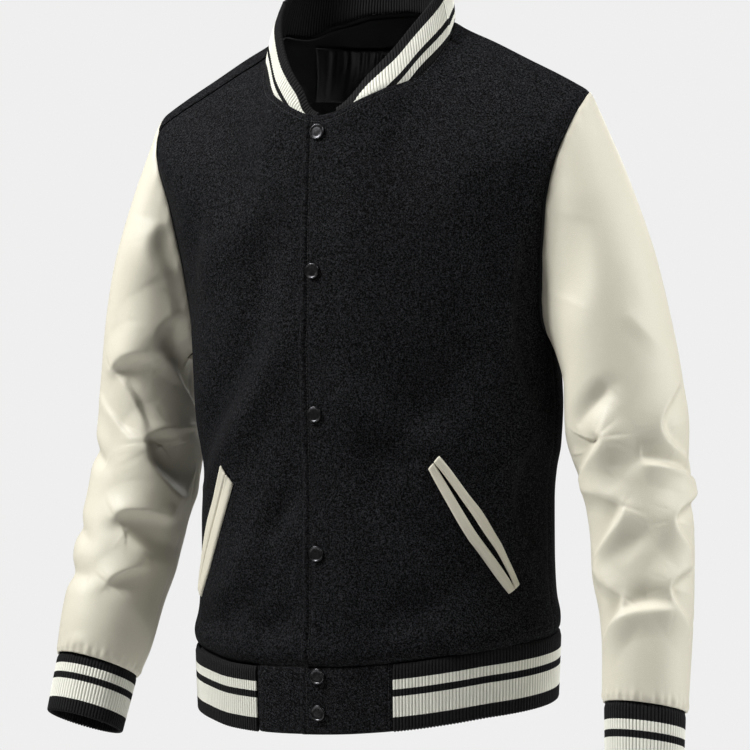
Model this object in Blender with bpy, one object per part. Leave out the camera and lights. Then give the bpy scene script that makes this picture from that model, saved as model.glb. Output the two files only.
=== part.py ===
"""Varsity jacket, filled out as worn and hollow: wool body, set-in leather sleeves, striped rib knit.

Every size and table below is in millimetres; the meshes are made in metres. +Z is up, the front faces -Y
and the wearer's left is +X. The origin is the middle of the neck, level with the shoulder seams' inner
ends. A face is -1 on the front and +1 on the back, a side is +1 on the wearer's left and -1 on the right.
"""

import math

import bpy
import numpy as np

METRE = 0.001
GAP = 0.3  # between two pieces at a seam

WOOL = 2.0  # melton body
LEATHER = 1.6  # sleeves and welts
KNIT = 2.4  # rib knit, to the foot of the ribs
SATIN = 1.2  # facing
TAPE = 0.8  # labels

RIB_PITCH = 3.4
RIB_RISE = 0.9
RIB_BAND = 65.0  # waistband, top to bottom
PLAIN_PER = 8  # outer points of a rib knit over one plain column inside
COLLAR_PLAIN_PER = 4

OVERLAP = 17.0  # a front's edge lies this far past the middle
LIFT = 2.7  # the upper front rides this far over the lower one
LIFT_X = (34.0, 66.0)  # and comes back to the body's surface between these

# Body sections, level by level
BODY = {
    "z": (60, 0, -60, -95, -160, -232, -290, -372, -440, -506, -565, -600, -628, -690),
    "half_width": (262, 262, 260, 254, 230, 211, 204, 201, 196, 195, 198, 202, 199, 195),
    "front": (82, 86, 92, 97, 106, 112, 114, 113, 113, 115, 116, 116, 112, 110),
    "back": (96, 112, 122, 127, 134, 137, 135, 129, 123, 119, 119, 121, 118, 115),
    "middle_x": (0, 0, 0, 0, 1, 2, 3, 4, 5, 6, 6, 5, 5, 5),
    "middle_y": (0, 0, 0, 0, 1, 2, 3, 4, 5, 6, 7, 8, 8, 8),
}
# Shoulder ridge, from the middle of the neck out
RIDGE = {
    "x": (0, 20, 60, 90, 111, 142, 180, 215, 245, 262),
    "z": (60, 59, 49, 27, 13, -2, -22, -40, -57, -68),
    "front_drop": (130, 132, 160, 215, 220, 205, 165, 115, 74, 74),
    "back_drop": (60, 61, 85, 115, 125, 130, 120, 95, 74, 74),
}
RIDGE_Y = 5.0
RIDGE_FALL = 2.2  # exponents of the shoulder's rounding
RIDGE_ROUND = 1.35
# Armhole: how far round from the middle each face reaches, in degrees
ARMHOLE = {
    "z": (-700, -302, -296, -285, -270, -240, -200, -160, -119, -80, -58, 60),
    "front": (90, 90, 86, 80.5, 78, 76, 72.5, 69, 67.5, 69, 70.4, 70.4),
    "back": (90, 90, 85, 78, 74.5, 70.5, 67, 65.5, 66, 69, 70.4, 70.4),
}
UNDERARM_Z = -302.0
TIP_X = 245.0
TOP_Z = -60.0  # the level whose half width spreads the panels' columns
SEAM_Y = -17.0  # shoulder seam, seen from above
# Neckline: a ring round the neck's own axis, which leans forward by the tilt, laid on the body
NECK = {"half_width": 104.0, "front": 112.0, "back": 84.0, "middle": -10.0, "tilt": 35.0, "power": 1.85, "back_power": 2.0}
HEM = {"z": -608.5, "per_x": 0.052, "per_y": 0.085}  # waist seam: a plane, a little higher on the left
TAB_X = 77.0  # waistband tab, from the middle
BAND_NARROW = 2.5  # the band's foot draws in

FOLD_ENDS = 0.59  # a fold's height at its ends, over its middle's
FOLD_FADE = 0.12  # the wool's folds die out this near a side seam, as a share of the way round
# Large folds of the wool: a soft ridge or trough from one place to the other, height negative for a trough
BODY_FOLDS = {
    "x0": (150, 196, 60, -120, -60, 150, -150, 80, -90),
    "z0": (-300, -330, -450, -330, -480, -150, -160, -540, -560),
    "x1": (95, 150, 150, -180, -150, 176, -178, 170, -165),
    "z1": (-420, -400, -560, -450, -585, -260, -270, -600, -590),
    "width": (26, 22, 30, 24, 26, 20, 20, 26, 24),
    "height": (-4, 5, 4, -4, 4, -4, -4, -3.5, -3.5),
}
BACK_FOLDS = {
    "x0": (150, -150, 165, -165, 110, -110),
    "z0": (-150, -150, -300, -300, -520, -520),
    "x1": (165, -165, 90, -90, 170, -170),
    "z1": (-300, -300, -430, -430, -590, -590),
    "width": (24, 24, 28, 28, 28, 28),
    "height": (-4.5, -4.5, 3, 3, -3, -3),
}

# Sleeves: the outer and inner edge of each section seen from the front, its middle line from front to back
# (y), its half depths, and how far the section's front is tipped up, in degrees
SLEEVE_LEFT = {
    "outer_x": (264, 288, 305, 321, 334, 343, 346, 354, 358, 361, 362.5, 364.5),
    "outer_z": (-98, -155, -210, -270, -325, -375, -420, -465, -516, -558, -600, -641),
    "inner_x": (215, 221, 223, 223, 224, 232, 245, 255, 261, 273, 280, 284.5),
    "inner_z": (-316, -330, -348, -368, -392, -420, -450, -487, -526, -564, -602, -641),
    "y": (8, 9, 9, 8, 6, 3, -2, -10, -20, -31, -43, -55),
    "front": (50, 58, 62, 63, 63, 61, 58, 54, 51, 48, 45, 41),
    "back": (54, 62, 64, 64, 63, 61, 58, 54, 51, 48, 45, 41),
    "tip": (0, 0, 0, 1, 3, 6, 9, 12, 14, 16, 17, 17),
}
SLEEVE_RIGHT = {
    "outer_x": (266, 284, 297, 308, 315, 320, 321, 323, 325, 322, 320, 317),
    "outer_z": (-98, -150, -205, -262, -318, -368, -425, -476, -512, -552, -592, -633),
    "inner_x": (215, 221, 220, 217, 214, 209, 209, 215, 218, 224, 226, 230),
    "inner_z": (-316, -330, -348, -368, -392, -410, -450, -490, -528, -568, -608, -641),
    "y": (8, 9, 9, 9, 9, 8, -2, -15, -29, -46, -64, -81),
    "front": (50, 58, 62, 62, 61, 60, 59, 57, 57, 54, 52, 45),
    "back": (54, 62, 64, 63, 61, 60, 59, 57, 57, 54, 52, 45),
    "tip": (0, 0, 0, 1, 3, 7, 13, 19, 23, 24, 24, 24),
}
# Large folds of the sleeves: degrees round from the outer edge through the front, and height
SLEEVE_LEFT_FOLDS = {
    "a0": (120, 80, 150, 110, 60, 150, 20, 120, 200, 330, 250),
    "z0": (-345, -385, -425, -455, -440, -478, -470, -540, -350, -400, -470),
    "a1": (60, 150, 80, 150, 0, 60, 100, 40, 260, 270, 330),
    "z1": (-385, -440, -455, -500, -470, -505, -540, -600, -400, -430, -500),
    "width": (16, 15, 13, 13, 13, 14, 14, 15, 18, 15, 15),
    "height": (-5, 5, 5, 5, 4, 5, -5, -5, -5, 4, 4),
}
SLEEVE_RIGHT_FOLDS = {
    "a0": (60, 100, 60, 110, 140, 60, 130, 60, 300, 260, 320, 0, 5, 5),
    "z0": (-350, -340, -395, -440, -500, -520, -555, -600, -340, -420, -500, -418, -484, -545),
    "a1": (150, 160, 130, 180, 70, 150, 70, 140, 240, 330, 260, 60, 60, 70),
    "z1": (-360, -420, -450, -470, -540, -560, -600, -630, -400, -450, -540, -418, -490, -536),
    "width": (14, 15, 14, 14, 14, 13, 14, 13, 18, 15, 15, 11, 11, 11),
    "height": (-5, 5, 5, -5, 5, -5, 5, 4, -5, 4, 4, -8, -8, -8),
}
CUFF_LEFT = {"foot": (331.0, -74.5, -704.5), "half_width": 37.0, "half_depth": 37.5}
CUFF_RIGHT = {"foot": (-270.0, -109.0, -691.0), "half_width": 42.0, "half_depth": 40.0}
CUFF_NARROW = 0.94  # the foot's size over the top's

# Collar: degrees round from the front middle, and the places of its upper edge
COLLAR = {
    "turn": (0, 12, 25, 45, 60, 75, 90, 120, 150, 180),
    "top_z": (-73, -64, -45, -13, 14, 36, 54, 78, 94, 100),
}
COLLAR_TOP = {"half_width": 90.0, "front": 74.0, "back": 66.0, "middle_y": -8.0, "power": 1.75, "back_power": 2.0}
COLLAR_BELLY = 2.5  # the band's middle stands this far outside a straight line
COLLAR_ENDS = {"right": 4.0, "left": 16.0}  # from the middle
COLLAR_END_SHARE = 0.55  # how far its ends' upper edge is drawn in to the neckline
COLLAR_END_TURN = 22.0  # its height falls off over this much of a turn

# Front closing: heights of the snaps on the middle line
SNAP_Z = (-94, -231, -371, -507, -627, -663)
SNAP_RISE = 3.4
SNAP_SEAT = 0.5
SNAP_SIDES = 14
# A snap cap's profile from its underside up: rim, step and shallow dished top
SNAP = {
    "radius": (7.1, 7.6, 7.6, 6.7, 5.6, 4.4),
    "height": (0, 0.8, 1.7, 2.6, 2.3, 3.0),
}

# Pocket welts: a slanted strip each side of a slit
# The slit from the middle: x out and z up, higher on the left, and how far its ends slant for each mm across
POCKET = {"top": (116.2, -425.8), "foot": (176.6, -547.7), "higher": 8.5, "slant": 0.45}
# Across the slit, along it from top to foot: the two welts' widths and the slit between them
POCKET_WIDTHS = {
    "at": (0, 0.13, 0.32, 0.5, 0.7, 0.85, 1),
    "front": (6.3, 6.6, 6.9, 7.2, 7.3, 6.4, 4.8),
    "slit": (1.5, 3.8, 5.6, 6.9, 6.6, 4, 0.5),
    "side": (6.4, 6.4, 6.6, 7.4, 6.6, 5.2, 4.6),
}
WELT_SEAT = 1.0  # a welt's underside over the front's outer points
WELT_STEPS = 13

# Inside the neck
FACING_ROWS = 6
FACING_COLUMNS = 9
FACING_SHORT = 0.07  # of a row, from the facing's top to the neckline
LABEL_COLUMNS = 6
LABEL_ROWS = 5
LABEL = {"x": -50.0, "z": -2.0, "width": 62.0, "height": 50.0, "seat": 1.8}
SIZE_TAG = {"x": 12.0, "z": 26.0, "width": 17.0, "height": 15.0, "seat": 0.6}

# How finely the pieces are made: columns across half the neckline, as shares of it, then rows
NECK_STEPS = (0, 0.24, 0.46, 0.65, 0.8, 0.9, 0.96)
SHOULDER_COLUMNS = 8
BODY_ROWS = 20
ROW_POWER = 0.93  # the rows are a little closer towards the top
ROW_MM = 115.0  # about how much one unit down the body is
AROUND_MM = 300.0  # and one unit round it
TAB_COLUMNS = 7
TAB_ROWS = 4
SLEEVE_COLUMNS = 24
# A sleeve's two pieces, in degrees round it from its outer edge through the front
SLEEVE_SEAMS = {"top": (-30, 195), "under": (195, 330)}
SLEEVE_STEPS = 21
SLEEVE_FIRST = 0.8  # the second ring's place among the sections
SLEEVE_BLEND = 2.2  # the sections over which a sleeve leaves its armhole's own shape
SLEEVE_START = 3.5 * GAP  # from the armhole's outline to the first ring
ONWARD_STEP = 0.04  # of the way round, over which the body's way on at the armhole is read


def blend(table, key, at, against=None):
    """A table's column read between its rows on a smooth curve, which never swings past them."""
    xs = np.array(table[against or next(iter(table))], float)
    ys = np.array(table[key], float)
    if xs[0] > xs[-1]:
        xs, ys = xs[::-1], ys[::-1]
    step = np.diff(xs)
    slope = np.diff(ys) / step
    inner = np.where(slope[:-1] * slope[1:] > 0, 2 * slope[:-1] * slope[1:] / (slope[:-1] + slope[1:] + 1e-12), 0)
    tangent = np.concatenate([[slope[0]], inner, [slope[-1]]])
    at = np.clip(np.asarray(at, float), xs[0], xs[-1])
    row = np.clip(np.searchsorted(xs, at) - 1, 0, len(xs) - 2)
    t = (at - xs[row]) / step[row]
    return (
        ys[row] * (1 + 2 * t) * (1 - t) ** 2
        + tangent[row] * step[row] * t * (1 - t) ** 2
        + ys[row + 1] * t**2 * (3 - 2 * t)
        + tangent[row + 1] * step[row] * t**2 * (t - 1)
    )


def tip_turn():
    """The turn round the top level's section at which the shoulder's tip lies, and that level's half width."""
    width = float(blend(BODY, "half_width", TOP_Z))
    return math.asin(TIP_X / width), width


def body_point(side, face, around, down):
    """A point of the body: around from 0 (middle) to 1 (side seam or armhole), down from the shoulder ridge.

    Down is 0 on the ridge and 1 where the shoulder's rounding ends; a negative value is the other face.
    """
    around, down = np.broadcast_arrays(np.asarray(around, float), np.asarray(down, float))
    face = np.where(down < 0, -face, face)
    drop = np.abs(down)

    turn, top_width = tip_turn()
    x_top = np.abs(top_width * np.sin(around * turn))
    fall = np.where(face < 0, blend(RIDGE, "front_drop", x_top), blend(RIDGE, "back_drop", x_top))
    share = np.where(drop < 1, 1 - np.cos(np.minimum(drop, 1) * math.pi / 2), 1 + (drop - 1) * math.pi / 2)
    z, share = blend(RIDGE, "z", x_top) - fall * share, np.minimum(share, 1)
    reach = around * np.radians(np.where(face < 0, blend(ARMHOLE, "front", z), blend(ARMHOLE, "back", z)))
    out = blend(BODY, "half_width", z) * np.sin(reach)
    depth = np.where(face < 0, blend(BODY, "front", z), blend(BODY, "back", z))
    y_section = blend(BODY, "middle_y", z) + face * depth * np.cos(reach)
    rounding = (1 - (1 - share) ** RIDGE_FALL) ** (1 / RIDGE_ROUND)
    y = RIDGE_Y + (y_section - RIDGE_Y) * rounding
    x = blend(BODY, "middle_x", z) + side * out
    return np.stack([x, y, z], -1)


def solve(wanted, low, high):
    """The value between low and high at which wanted, which rises from below 0 to above it, is 0."""
    for _ in range(40):
        middle = (low + high) / 2
        above = wanted(middle) > 0
        low, high = np.where(above, low, middle), np.where(above, middle, high)
    return (low + high) / 2


def hem_z(x, y):
    return HEM["z"] + HEM["per_x"] * x + HEM["per_y"] * y


def hem_down(side, face, around):
    """How far down the waist seam is."""

    def below(down):
        p = body_point(side, face, around, down)
        return hem_z(p[..., 0], p[..., 1]) - p[..., 2]

    shape = np.shape(around)
    return solve(below, np.full(shape, 0.5), np.full(shape, 12.0))


def neck_side(p):
    """Below 0 inside the neckline's ring and above it outside, and how far round the ring a point is."""
    tilt = math.radians(NECK["tilt"])
    back = p[..., 1] * math.cos(tilt) + p[..., 2] * math.sin(tilt) - NECK["middle"]
    back = back / np.where(back < 0, NECK["front"], NECK["back"])
    across = np.abs(p[..., 0]) / NECK["half_width"]
    power = np.where(back < 0, NECK["power"], NECK["back_power"])
    return across**power + np.abs(back) ** power - 1, np.degrees(np.arctan2(across, -back))


def seam_down(side, around):
    """How far down the front the shoulder seam lies."""

    def forward(down):
        return SEAM_Y - body_point(side, -1, around, down)[..., 1]

    return solve(forward, np.zeros(np.shape(around)), np.full(np.shape(around), 1.2))


def neck_around():
    """Where the shoulder seam meets the neckline."""

    def outside(around):
        return neck_side(body_point(1, -1, around, seam_down(1, around)))[0]

    return float(solve(outside, np.array(0.2), np.array(0.6)))


def top_down(side, face, around):
    """How far down the neckline and the shoulder seam are: negative where the back comes over the ridge."""
    around = np.asarray(around, float)
    seam = seam_down(side, around) * -face
    neckline = solve(
        lambda down: neck_side(body_point(side, face, around, down))[0], seam, np.full(around.shape, 1.5)
    )
    return np.where(np.abs(around) < NECK_AROUND - 1e-6, neckline, seam)


def fold_height(u, v, folds, names):
    """Height of the folds at (u, v): each falls off smoothly across its line and at its ends."""
    total = np.zeros(np.shape(u))
    for u0, v0, u1, v1, width, height in zip(*(folds[n] for n in (*names, "width", "height"))):
        du, dv = u1 - u0, v1 - v0
        along = np.clip(((u - u0) * du + (v - v0) * dv) / (du * du + dv * dv), 0, 1)
        off = np.hypot(u - u0 - along * du, v - v0 - along * dv)
        total += height * np.exp(-((off / width) ** 2)) * (FOLD_ENDS + (1 - FOLD_ENDS) * np.sin(math.pi * along))
    return total


def grid_normals(grid, flip=1.0, ring=False):
    """Outward unit normals of a grid of points, by its own differences."""
    if ring:
        across = np.roll(grid, -1, 1) - np.roll(grid, 1, 1)
    else:
        across = np.gradient(grid, axis=1)
    normals = np.cross(across, np.gradient(grid, axis=0)) * flip
    return normals / np.linalg.norm(normals, axis=-1, keepdims=True)


def lifted(x):
    """How much of its lift the upper front has at x."""
    return np.clip((LIFT_X[1] - x) / (LIFT_X[1] - LIFT_X[0]), 0, 1)


def body_grid(side, face, around, steps, lift=0.0):
    """Points and outward normals of one face of the body, row by row from the waist seam up.

    The form is read one step past each edge too, so that two panels face the same way at their seam.
    """
    inside = np.s_[1:-1, 1:-1]
    around, steps = (np.concatenate([[2 * a[0] - a[1]], a, [2 * a[-1] - a[-2]]]) for a in (around, steps))
    top = top_down(side, face, around) + GAP / 2 / ROW_MM
    hem = hem_down(side, face, around) - GAP / 2 / ROW_MM
    down = hem[None, :] + (top - hem)[None, :] * steps[:, None]
    grid = body_point(side, face, np.broadcast_to(around, down.shape), down)
    normals = grid_normals(grid, flip=side * face * -1.0)[inside]
    grid, around = grid[inside], around[1:-1]
    side_seam = np.gradient(grid[:, -1], axis=0)
    side_seam /= np.linalg.norm(side_seam, axis=-1, keepdims=True)
    sideways = side * (np.array([1.0, 0, 0]) - side_seam[:, :1] * side_seam)
    below = grid[:, -1, 2] < UNDERARM_Z + 4
    normals[below, -1] = (sideways / np.linalg.norm(sideways, axis=-1, keepdims=True))[below]
    folds = BODY_FOLDS if face < 0 else BACK_FOLDS
    height = fold_height(grid[..., 0], grid[..., 2], folds, ("x0", "z0", "x1", "z1"))
    height = height * np.clip((1 - np.abs(around)) / FOLD_FADE, 0, 1)
    rise = lift * lifted(side * grid[..., 0])
    return grid + normals * (height + rise)[..., None], normals


def add_material(name, colour, roughness, metallic=0.0):
    material = bpy.data.materials.new(name)
    material.use_nodes = True
    shader = material.node_tree.nodes["Principled BSDF"]
    shader.inputs["Base Color"].default_value = (*colour, 1.0)
    shader.inputs["Roughness"].default_value = roughness
    shader.inputs["Metallic"].default_value = metallic
    return material


def add_object(name, points, faces, material):
    mesh = bpy.data.meshes.new(name)
    mesh.from_pydata([tuple(p) for p in np.asarray(points) * METRE], [], faces)
    mesh.validate()
    mesh.shade_smooth()
    mesh.materials.append(material)
    obj = bpy.data.objects.new(name, mesh)
    PARTS.objects.link(obj)
    return obj


def wall(name, outer, inner, material, ring=False):
    """A closed wall between two grids of points of the same shape, open round its edge or a ring."""
    rows, columns = outer.shape[:2]
    count = rows * columns

    def at(i, j, skin):
        return skin * count + i * columns + j % columns

    faces = []
    last = columns if ring else columns - 1
    for i in range(rows - 1):
        for j in range(last):
            near, far = (i, j), (i + 1, j + 1)
            left, right = (i + 1, j), (i, j + 1)
            long = [np.linalg.norm(outer[a] - outer[b[0], b[1] % columns]) for a, b in ((near, far), (left, right))]
            if long[0] > long[1]:
                near, right, far, left = right, far, left, near
            for three in ((near, right, far), (near, far, left)):
                faces.append(tuple(at(*c, 0) for c in three))
                faces.append(tuple(at(*c, 1) for c in three[::-1]))
    for j in range(last):
        faces.append((at(0, j, 0), at(0, j, 1), at(0, j + 1, 1), at(0, j + 1, 0)))
        faces.append((at(rows - 1, j, 0), at(rows - 1, j + 1, 0), at(rows - 1, j + 1, 1), at(rows - 1, j, 1)))
    if not ring:
        for i in range(rows - 1):
            faces.append((at(i, 0, 0), at(i + 1, 0, 0), at(i + 1, 0, 1), at(i, 0, 1)))
            faces.append((at(i, last, 0), at(i, last, 1), at(i + 1, last, 1), at(i + 1, last, 0)))
    points = np.concatenate([outer.reshape(-1, 3), inner.reshape(-1, 3)])
    if signed_volume(points, faces) < 0:
        faces = [f[::-1] for f in faces]
    return add_object(name, points, faces, material)


def signed_volume(points, faces):
    points = points - points.mean(0)
    return sum(
        np.dot(points[f[0]], np.cross(points[f[k]], points[f[k + 1]])) for f in faces for k in range(1, len(f) - 1)
    )


def rib_count(length):
    """Ribs along a length, in fours, so that the plain columns inside meet them."""
    return round(length / RIB_PITCH / 4) * 4


def ribbed_wall(name, rows, plain_rows, out_rows, per, material, ring=False):
    """A knit wall whose ribs stand up in its outer points, over a plain inside with fewer columns.

    rows are the outer skin's foot of the ribs, out_rows the way each point faces. Each plain column spans
    per outer ones.
    """
    lifted = rows + out_rows * (RIB_RISE * (np.arange(rows.shape[1]) % 2))[None, :, None]
    layers, columns = lifted.shape[:2]
    plain = plain_rows.shape[1]
    count = layers * columns

    def outer(i, j):
        return i * columns + j % columns

    def inner(i, j):
        return count + i * plain + j % plain

    faces = []
    for i in range(layers - 1):
        for j in range(columns if ring else columns - 1):
            faces.append((outer(i, j), outer(i, j + 1), outer(i + 1, j + 1), outer(i + 1, j)))
        for j in range(plain if ring else plain - 1):
            faces.append((inner(i, j), inner(i + 1, j), inner(i + 1, j + 1), inner(i, j + 1)))
    for j in range(plain if ring else plain - 1):
        span = list(range(j * per, (j + 1) * per + 1))
        faces.append((inner(0, j), inner(0, j + 1), *(outer(0, k) for k in reversed(span))))
        faces.append((inner(layers - 1, j + 1), inner(layers - 1, j), *(outer(layers - 1, k) for k in span)))
    if not ring:
        last_out, last_in = columns - 1, plain - 1
        for i in range(layers - 1):
            faces.append((outer(i, 0), outer(i + 1, 0), inner(i + 1, 0), inner(i, 0)))
            faces.append((outer(i, last_out), inner(i, last_in), inner(i + 1, last_in), outer(i + 1, last_out)))
    points = np.concatenate([lifted.reshape(-1, 3), plain_rows.reshape(-1, 3)])
    if signed_volume(points, faces) < 0:
        faces = [f[::-1] for f in faces]
    return add_object(name, points, faces, material)


def columns_from_middle():
    """A panel's columns: across the neckline, then along the shoulder to just short of the seam."""
    shoulder = np.linspace(NECK_AROUND, 1, SHOULDER_COLUMNS)
    shoulder[-1] -= GAP / 2 / AROUND_MM
    return np.concatenate([NECK_AROUND * np.array(NECK_STEPS), shoulder])


def row_steps():
    return np.linspace(0, 1, BODY_ROWS) ** ROW_POWER


def make_front(name, side, material):
    """A front, from its edge past the middle to the side seam."""
    turn, top_width = tip_turn()
    around = np.concatenate([[-OVERLAP / (top_width * turn)], columns_from_middle()])
    outer, normals = body_grid(side, -1, around, row_steps(), lift=LIFT if side > 0 else 0.0)
    wall(name, outer, outer - normals * WOOL, material)
    return outer, normals


def make_back(material):
    half = columns_from_middle()
    left = body_grid(1, 1, half, row_steps())
    right = body_grid(-1, 1, half, row_steps())
    outer = np.concatenate([right[0][:, :0:-1], left[0]], 1)
    normals = np.concatenate([right[1][:, :0:-1], left[1]], 1)
    middle = len(half) - 1
    normals[:, middle, 0] = 0
    normals /= np.linalg.norm(normals, axis=-1, keepdims=True)
    wall("back", outer, outer - normals * WOOL, material)
    return outer, normals


def between(grid, row, column):
    """A point between a grid's points, at a row and a column that need not be whole."""
    i, j = min(int(row), grid.shape[0] - 2), min(int(column), grid.shape[1] - 2)
    a, b = row - i, column - j
    near = grid[i, j] * (1 - b) + grid[i, j + 1] * b
    far = grid[i + 1, j] * (1 - b) + grid[i + 1, j + 1] * b
    return near * (1 - a) + far * a


def place_on(panel, x, z):
    """The point of a panel's outer skin at x and z, seen from the front, and its outward normal."""
    grid, normals = panel
    rows, columns = grid.shape[:2]
    row, column = rows / 2, columns / 2
    side = 1 if grid[0, -1, 0] > grid[0, 0, 0] else -1
    for _ in range(30):
        line = np.array([between(grid, i, column) for i in range(rows)])
        row = float(np.interp(z, line[:, 2], np.arange(rows)))
        line = np.array([between(grid, row, j) for j in range(columns)])
        column = float(np.interp(side * x, side * line[:, 0], np.arange(columns)))
    normal = between(normals, row, column)
    return between(grid, row, column), normal / np.linalg.norm(normal)


def armhole_loop(side, turns):
    """Points of the armhole, by turns round it from the shoulder's tip through the front, and which way the
    body's surface would go on from there."""
    top, low = float(body_point(side, -1, 1.0, 0.0)[2]), UNDERARM_Z
    z_wanted = (top + low) / 2 + (top - low) / 2 * np.cos(turns)
    face = np.where(np.sin(turns) >= 0, -1, 1)
    down = solve(
        lambda d: z_wanted - body_point(side, face, 1.0, d)[..., 2], np.zeros(len(turns)), np.full(len(turns), 6.0)
    )
    points = body_point(side, face, 1.0, down)
    along = np.roll(points, -1, 0) - np.roll(points, 1, 0)
    along /= np.linalg.norm(along, axis=-1, keepdims=True)
    onward = points - body_point(side, face, 1 - ONWARD_STEP, down)
    onward -= np.sum(onward * along, axis=-1, keepdims=True) * along
    return points, onward / np.linalg.norm(onward, axis=-1, keepdims=True)


def sleeve_rings(side, table, count, columns):
    """Outer points of a sleeve, ring by ring from the armhole to the cuff, and the body's way on at the armhole."""
    turns = np.arange(columns) * 2 * math.pi / columns
    loop, onward = armhole_loop(side, turns)
    sections = len(table["y"])
    keys = {"at": tuple(range(sections))} | table
    at = np.concatenate([[0], np.linspace(SLEEVE_FIRST, sections - 1, count - 1)])
    row = {key: blend(keys, key, at, "at") for key in table}
    rings = []
    for k in range(count):
        centre, across, forward = section_plane(side, {key: row[key][k] for key in row})
        depth = np.where(np.sin(turns) >= 0, row["front"][k], row["back"][k])
        rings.append(centre + np.cos(turns)[:, None] * across + (np.sin(turns) * depth)[:, None] * forward)
    rings = np.array(rings)
    start = loop + onward * SLEEVE_START
    share = np.clip(at / SLEEVE_BLEND, 0, 1)[:, None, None]
    share = share * share * (3 - 2 * share)
    first = rings - rings[:1] + start[None]
    rings = first * (1 - share) + rings * share
    return np.concatenate([start[None], rings[1:]]), onward, turns


def make_sleeve(name, side, table, folds, material):
    rings, onward, turns = sleeve_rings(side, table, SLEEVE_STEPS, SLEEVE_COLUMNS)
    normals = grid_normals(rings, flip=side, ring=True)
    normals[0] -= np.maximum(0, np.sum(normals[0] * onward, axis=-1, keepdims=True)) * onward
    normals[0] /= np.linalg.norm(normals[0], axis=-1, keepdims=True)
    degrees = np.degrees(turns)[None, :].repeat(len(rings), 0)
    height = sum(fold_height(degrees + turn, rings[..., 2], folds, ("a0", "z0", "a1", "z1")) for turn in (-360, 0, 360))
    height[:2] = 0
    height[-1] = 0
    outer = rings + normals * height[..., None]
    for part, (first, last) in SLEEVE_SEAMS.items():
        columns = np.arange(round(first / 360 * SLEEVE_COLUMNS), round(last / 360 * SLEEVE_COLUMNS) + 1) % SLEEVE_COLUMNS
        half, ways = outer[:, columns], normals[:, columns]
        across = np.gradient(half, axis=1)[:, (0, -1)]
        across /= np.linalg.norm(across, axis=-1, keepdims=True)
        half[:, 0] += across[:, 0] * GAP / 2
        half[:, -1] -= across[:, 1] * GAP / 2
        wall(f"{name}_{part}", half, half - ways * LEATHER, material)


def section_plane(side, row):
    """Centre of a sleeve section and its ways to the outer edge and to the front, from one row of its table."""
    outer = np.array([side * row["outer_x"], 0, row["outer_z"]])
    inner = np.array([side * row["inner_x"], 0, row["inner_z"]])
    tip = math.radians(row["tip"])
    return (outer + inner) / 2 + (0, row["y"], 0), (outer - inner) / 2, np.array([0, -math.cos(tip), math.sin(tip)])


def make_cuff(name, side, table, sizes, material):
    """A ribbed cuff, from the sleeve's last section to its own foot."""
    centre, across, forward = section_plane(side, {key: table[key][-1] for key in table})
    across /= np.linalg.norm(across)
    down = np.cross(across, forward)
    down *= -np.sign(down[2]) / np.linalg.norm(down)
    top = centre + down * (GAP * 1.5)
    ribs = rib_count(math.pi * (sizes["half_width"] + sizes["half_depth"]))

    def ring(middle, columns, shrink, inset):
        turns = np.arange(columns) * 2 * math.pi / columns
        wide, deep = sizes["half_width"] * shrink - inset, sizes["half_depth"] * shrink - inset
        out = np.cos(turns)[:, None] * across * wide + np.sin(turns)[:, None] * forward * deep
        return middle + out, out / np.linalg.norm(out, axis=-1, keepdims=True)

    ends = ((np.array(sizes["foot"]), CUFF_NARROW), (top, 1.0))
    outer = [ring(middle, ribs * 2, shrink, 0) for middle, shrink in ends]
    plain = np.array([ring(middle, ribs * 2 // PLAIN_PER, shrink, KNIT)[0] for middle, shrink in ends])
    rows, out_rows = (np.array(a) for a in zip(*outer))
    return ribbed_wall(name, rows, plain, out_rows, PLAIN_PER, material, ring=True)


def waist_line(side, face, around, below):
    """Points of the waistband's outer skin, this far below the waist seam."""
    down = hem_down(side, face, np.asarray(around, float))
    top = body_point(side, face, around, down)
    return top - np.array([0, 0, below])


def make_waistband(material):
    """The ribbed band, from the right tab round the back to the left tab."""
    fine = np.linspace(0, 1, 400)
    right = waist_line(-1, -1, fine, 0)
    path = np.concatenate([right, waist_line(-1, 1, fine[::-1], 0)[1:], waist_line(1, 1, fine, 0)[1:]])
    path = np.concatenate([path, waist_line(1, -1, fine[::-1], 0)[1:]])
    middle = np.array([float(blend(BODY, key, HEM["z"])) for key in ("middle_x", "middle_y")] + [0.0])
    is_front = path[:, 1] < 0
    keep = ~(is_front & (np.abs(path[:, 0] - middle[0]) < TAB_X + GAP))
    path = path[keep]
    length = np.concatenate([[0], np.cumsum(np.linalg.norm(np.diff(path, axis=0), axis=1))])
    ribs = rib_count(length[-1])

    def line(columns):
        at = np.linspace(0, length[-1], columns)
        return np.stack([np.interp(at, length, path[:, k]) for k in range(3)], -1)

    def outward(points):
        along = np.gradient(points, axis=0)
        out = np.cross([0, 0, 1.0], along)
        out /= np.linalg.norm(out, axis=-1, keepdims=True)
        return out * np.sign(np.sum(out * (points - middle), axis=-1, keepdims=True))

    rib_line, plain_line = line(ribs * 2 + 1), line(ribs * 2 // PLAIN_PER + 1)
    rib_out, plain_out = outward(rib_line), outward(plain_line)
    depths = (RIB_BAND, GAP * 1.5)
    narrow = {RIB_BAND: BAND_NARROW, GAP * 1.5: 0.0}
    outer = np.array([rib_line - rib_out * narrow[d] - (0, 0, d) for d in depths])
    plain = np.array([plain_line - plain_out * (KNIT + narrow[d]) - (0, 0, d) for d in depths])
    return ribbed_wall("hem_rib", outer, plain, np.array([rib_out, rib_out]), PLAIN_PER, material)


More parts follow.
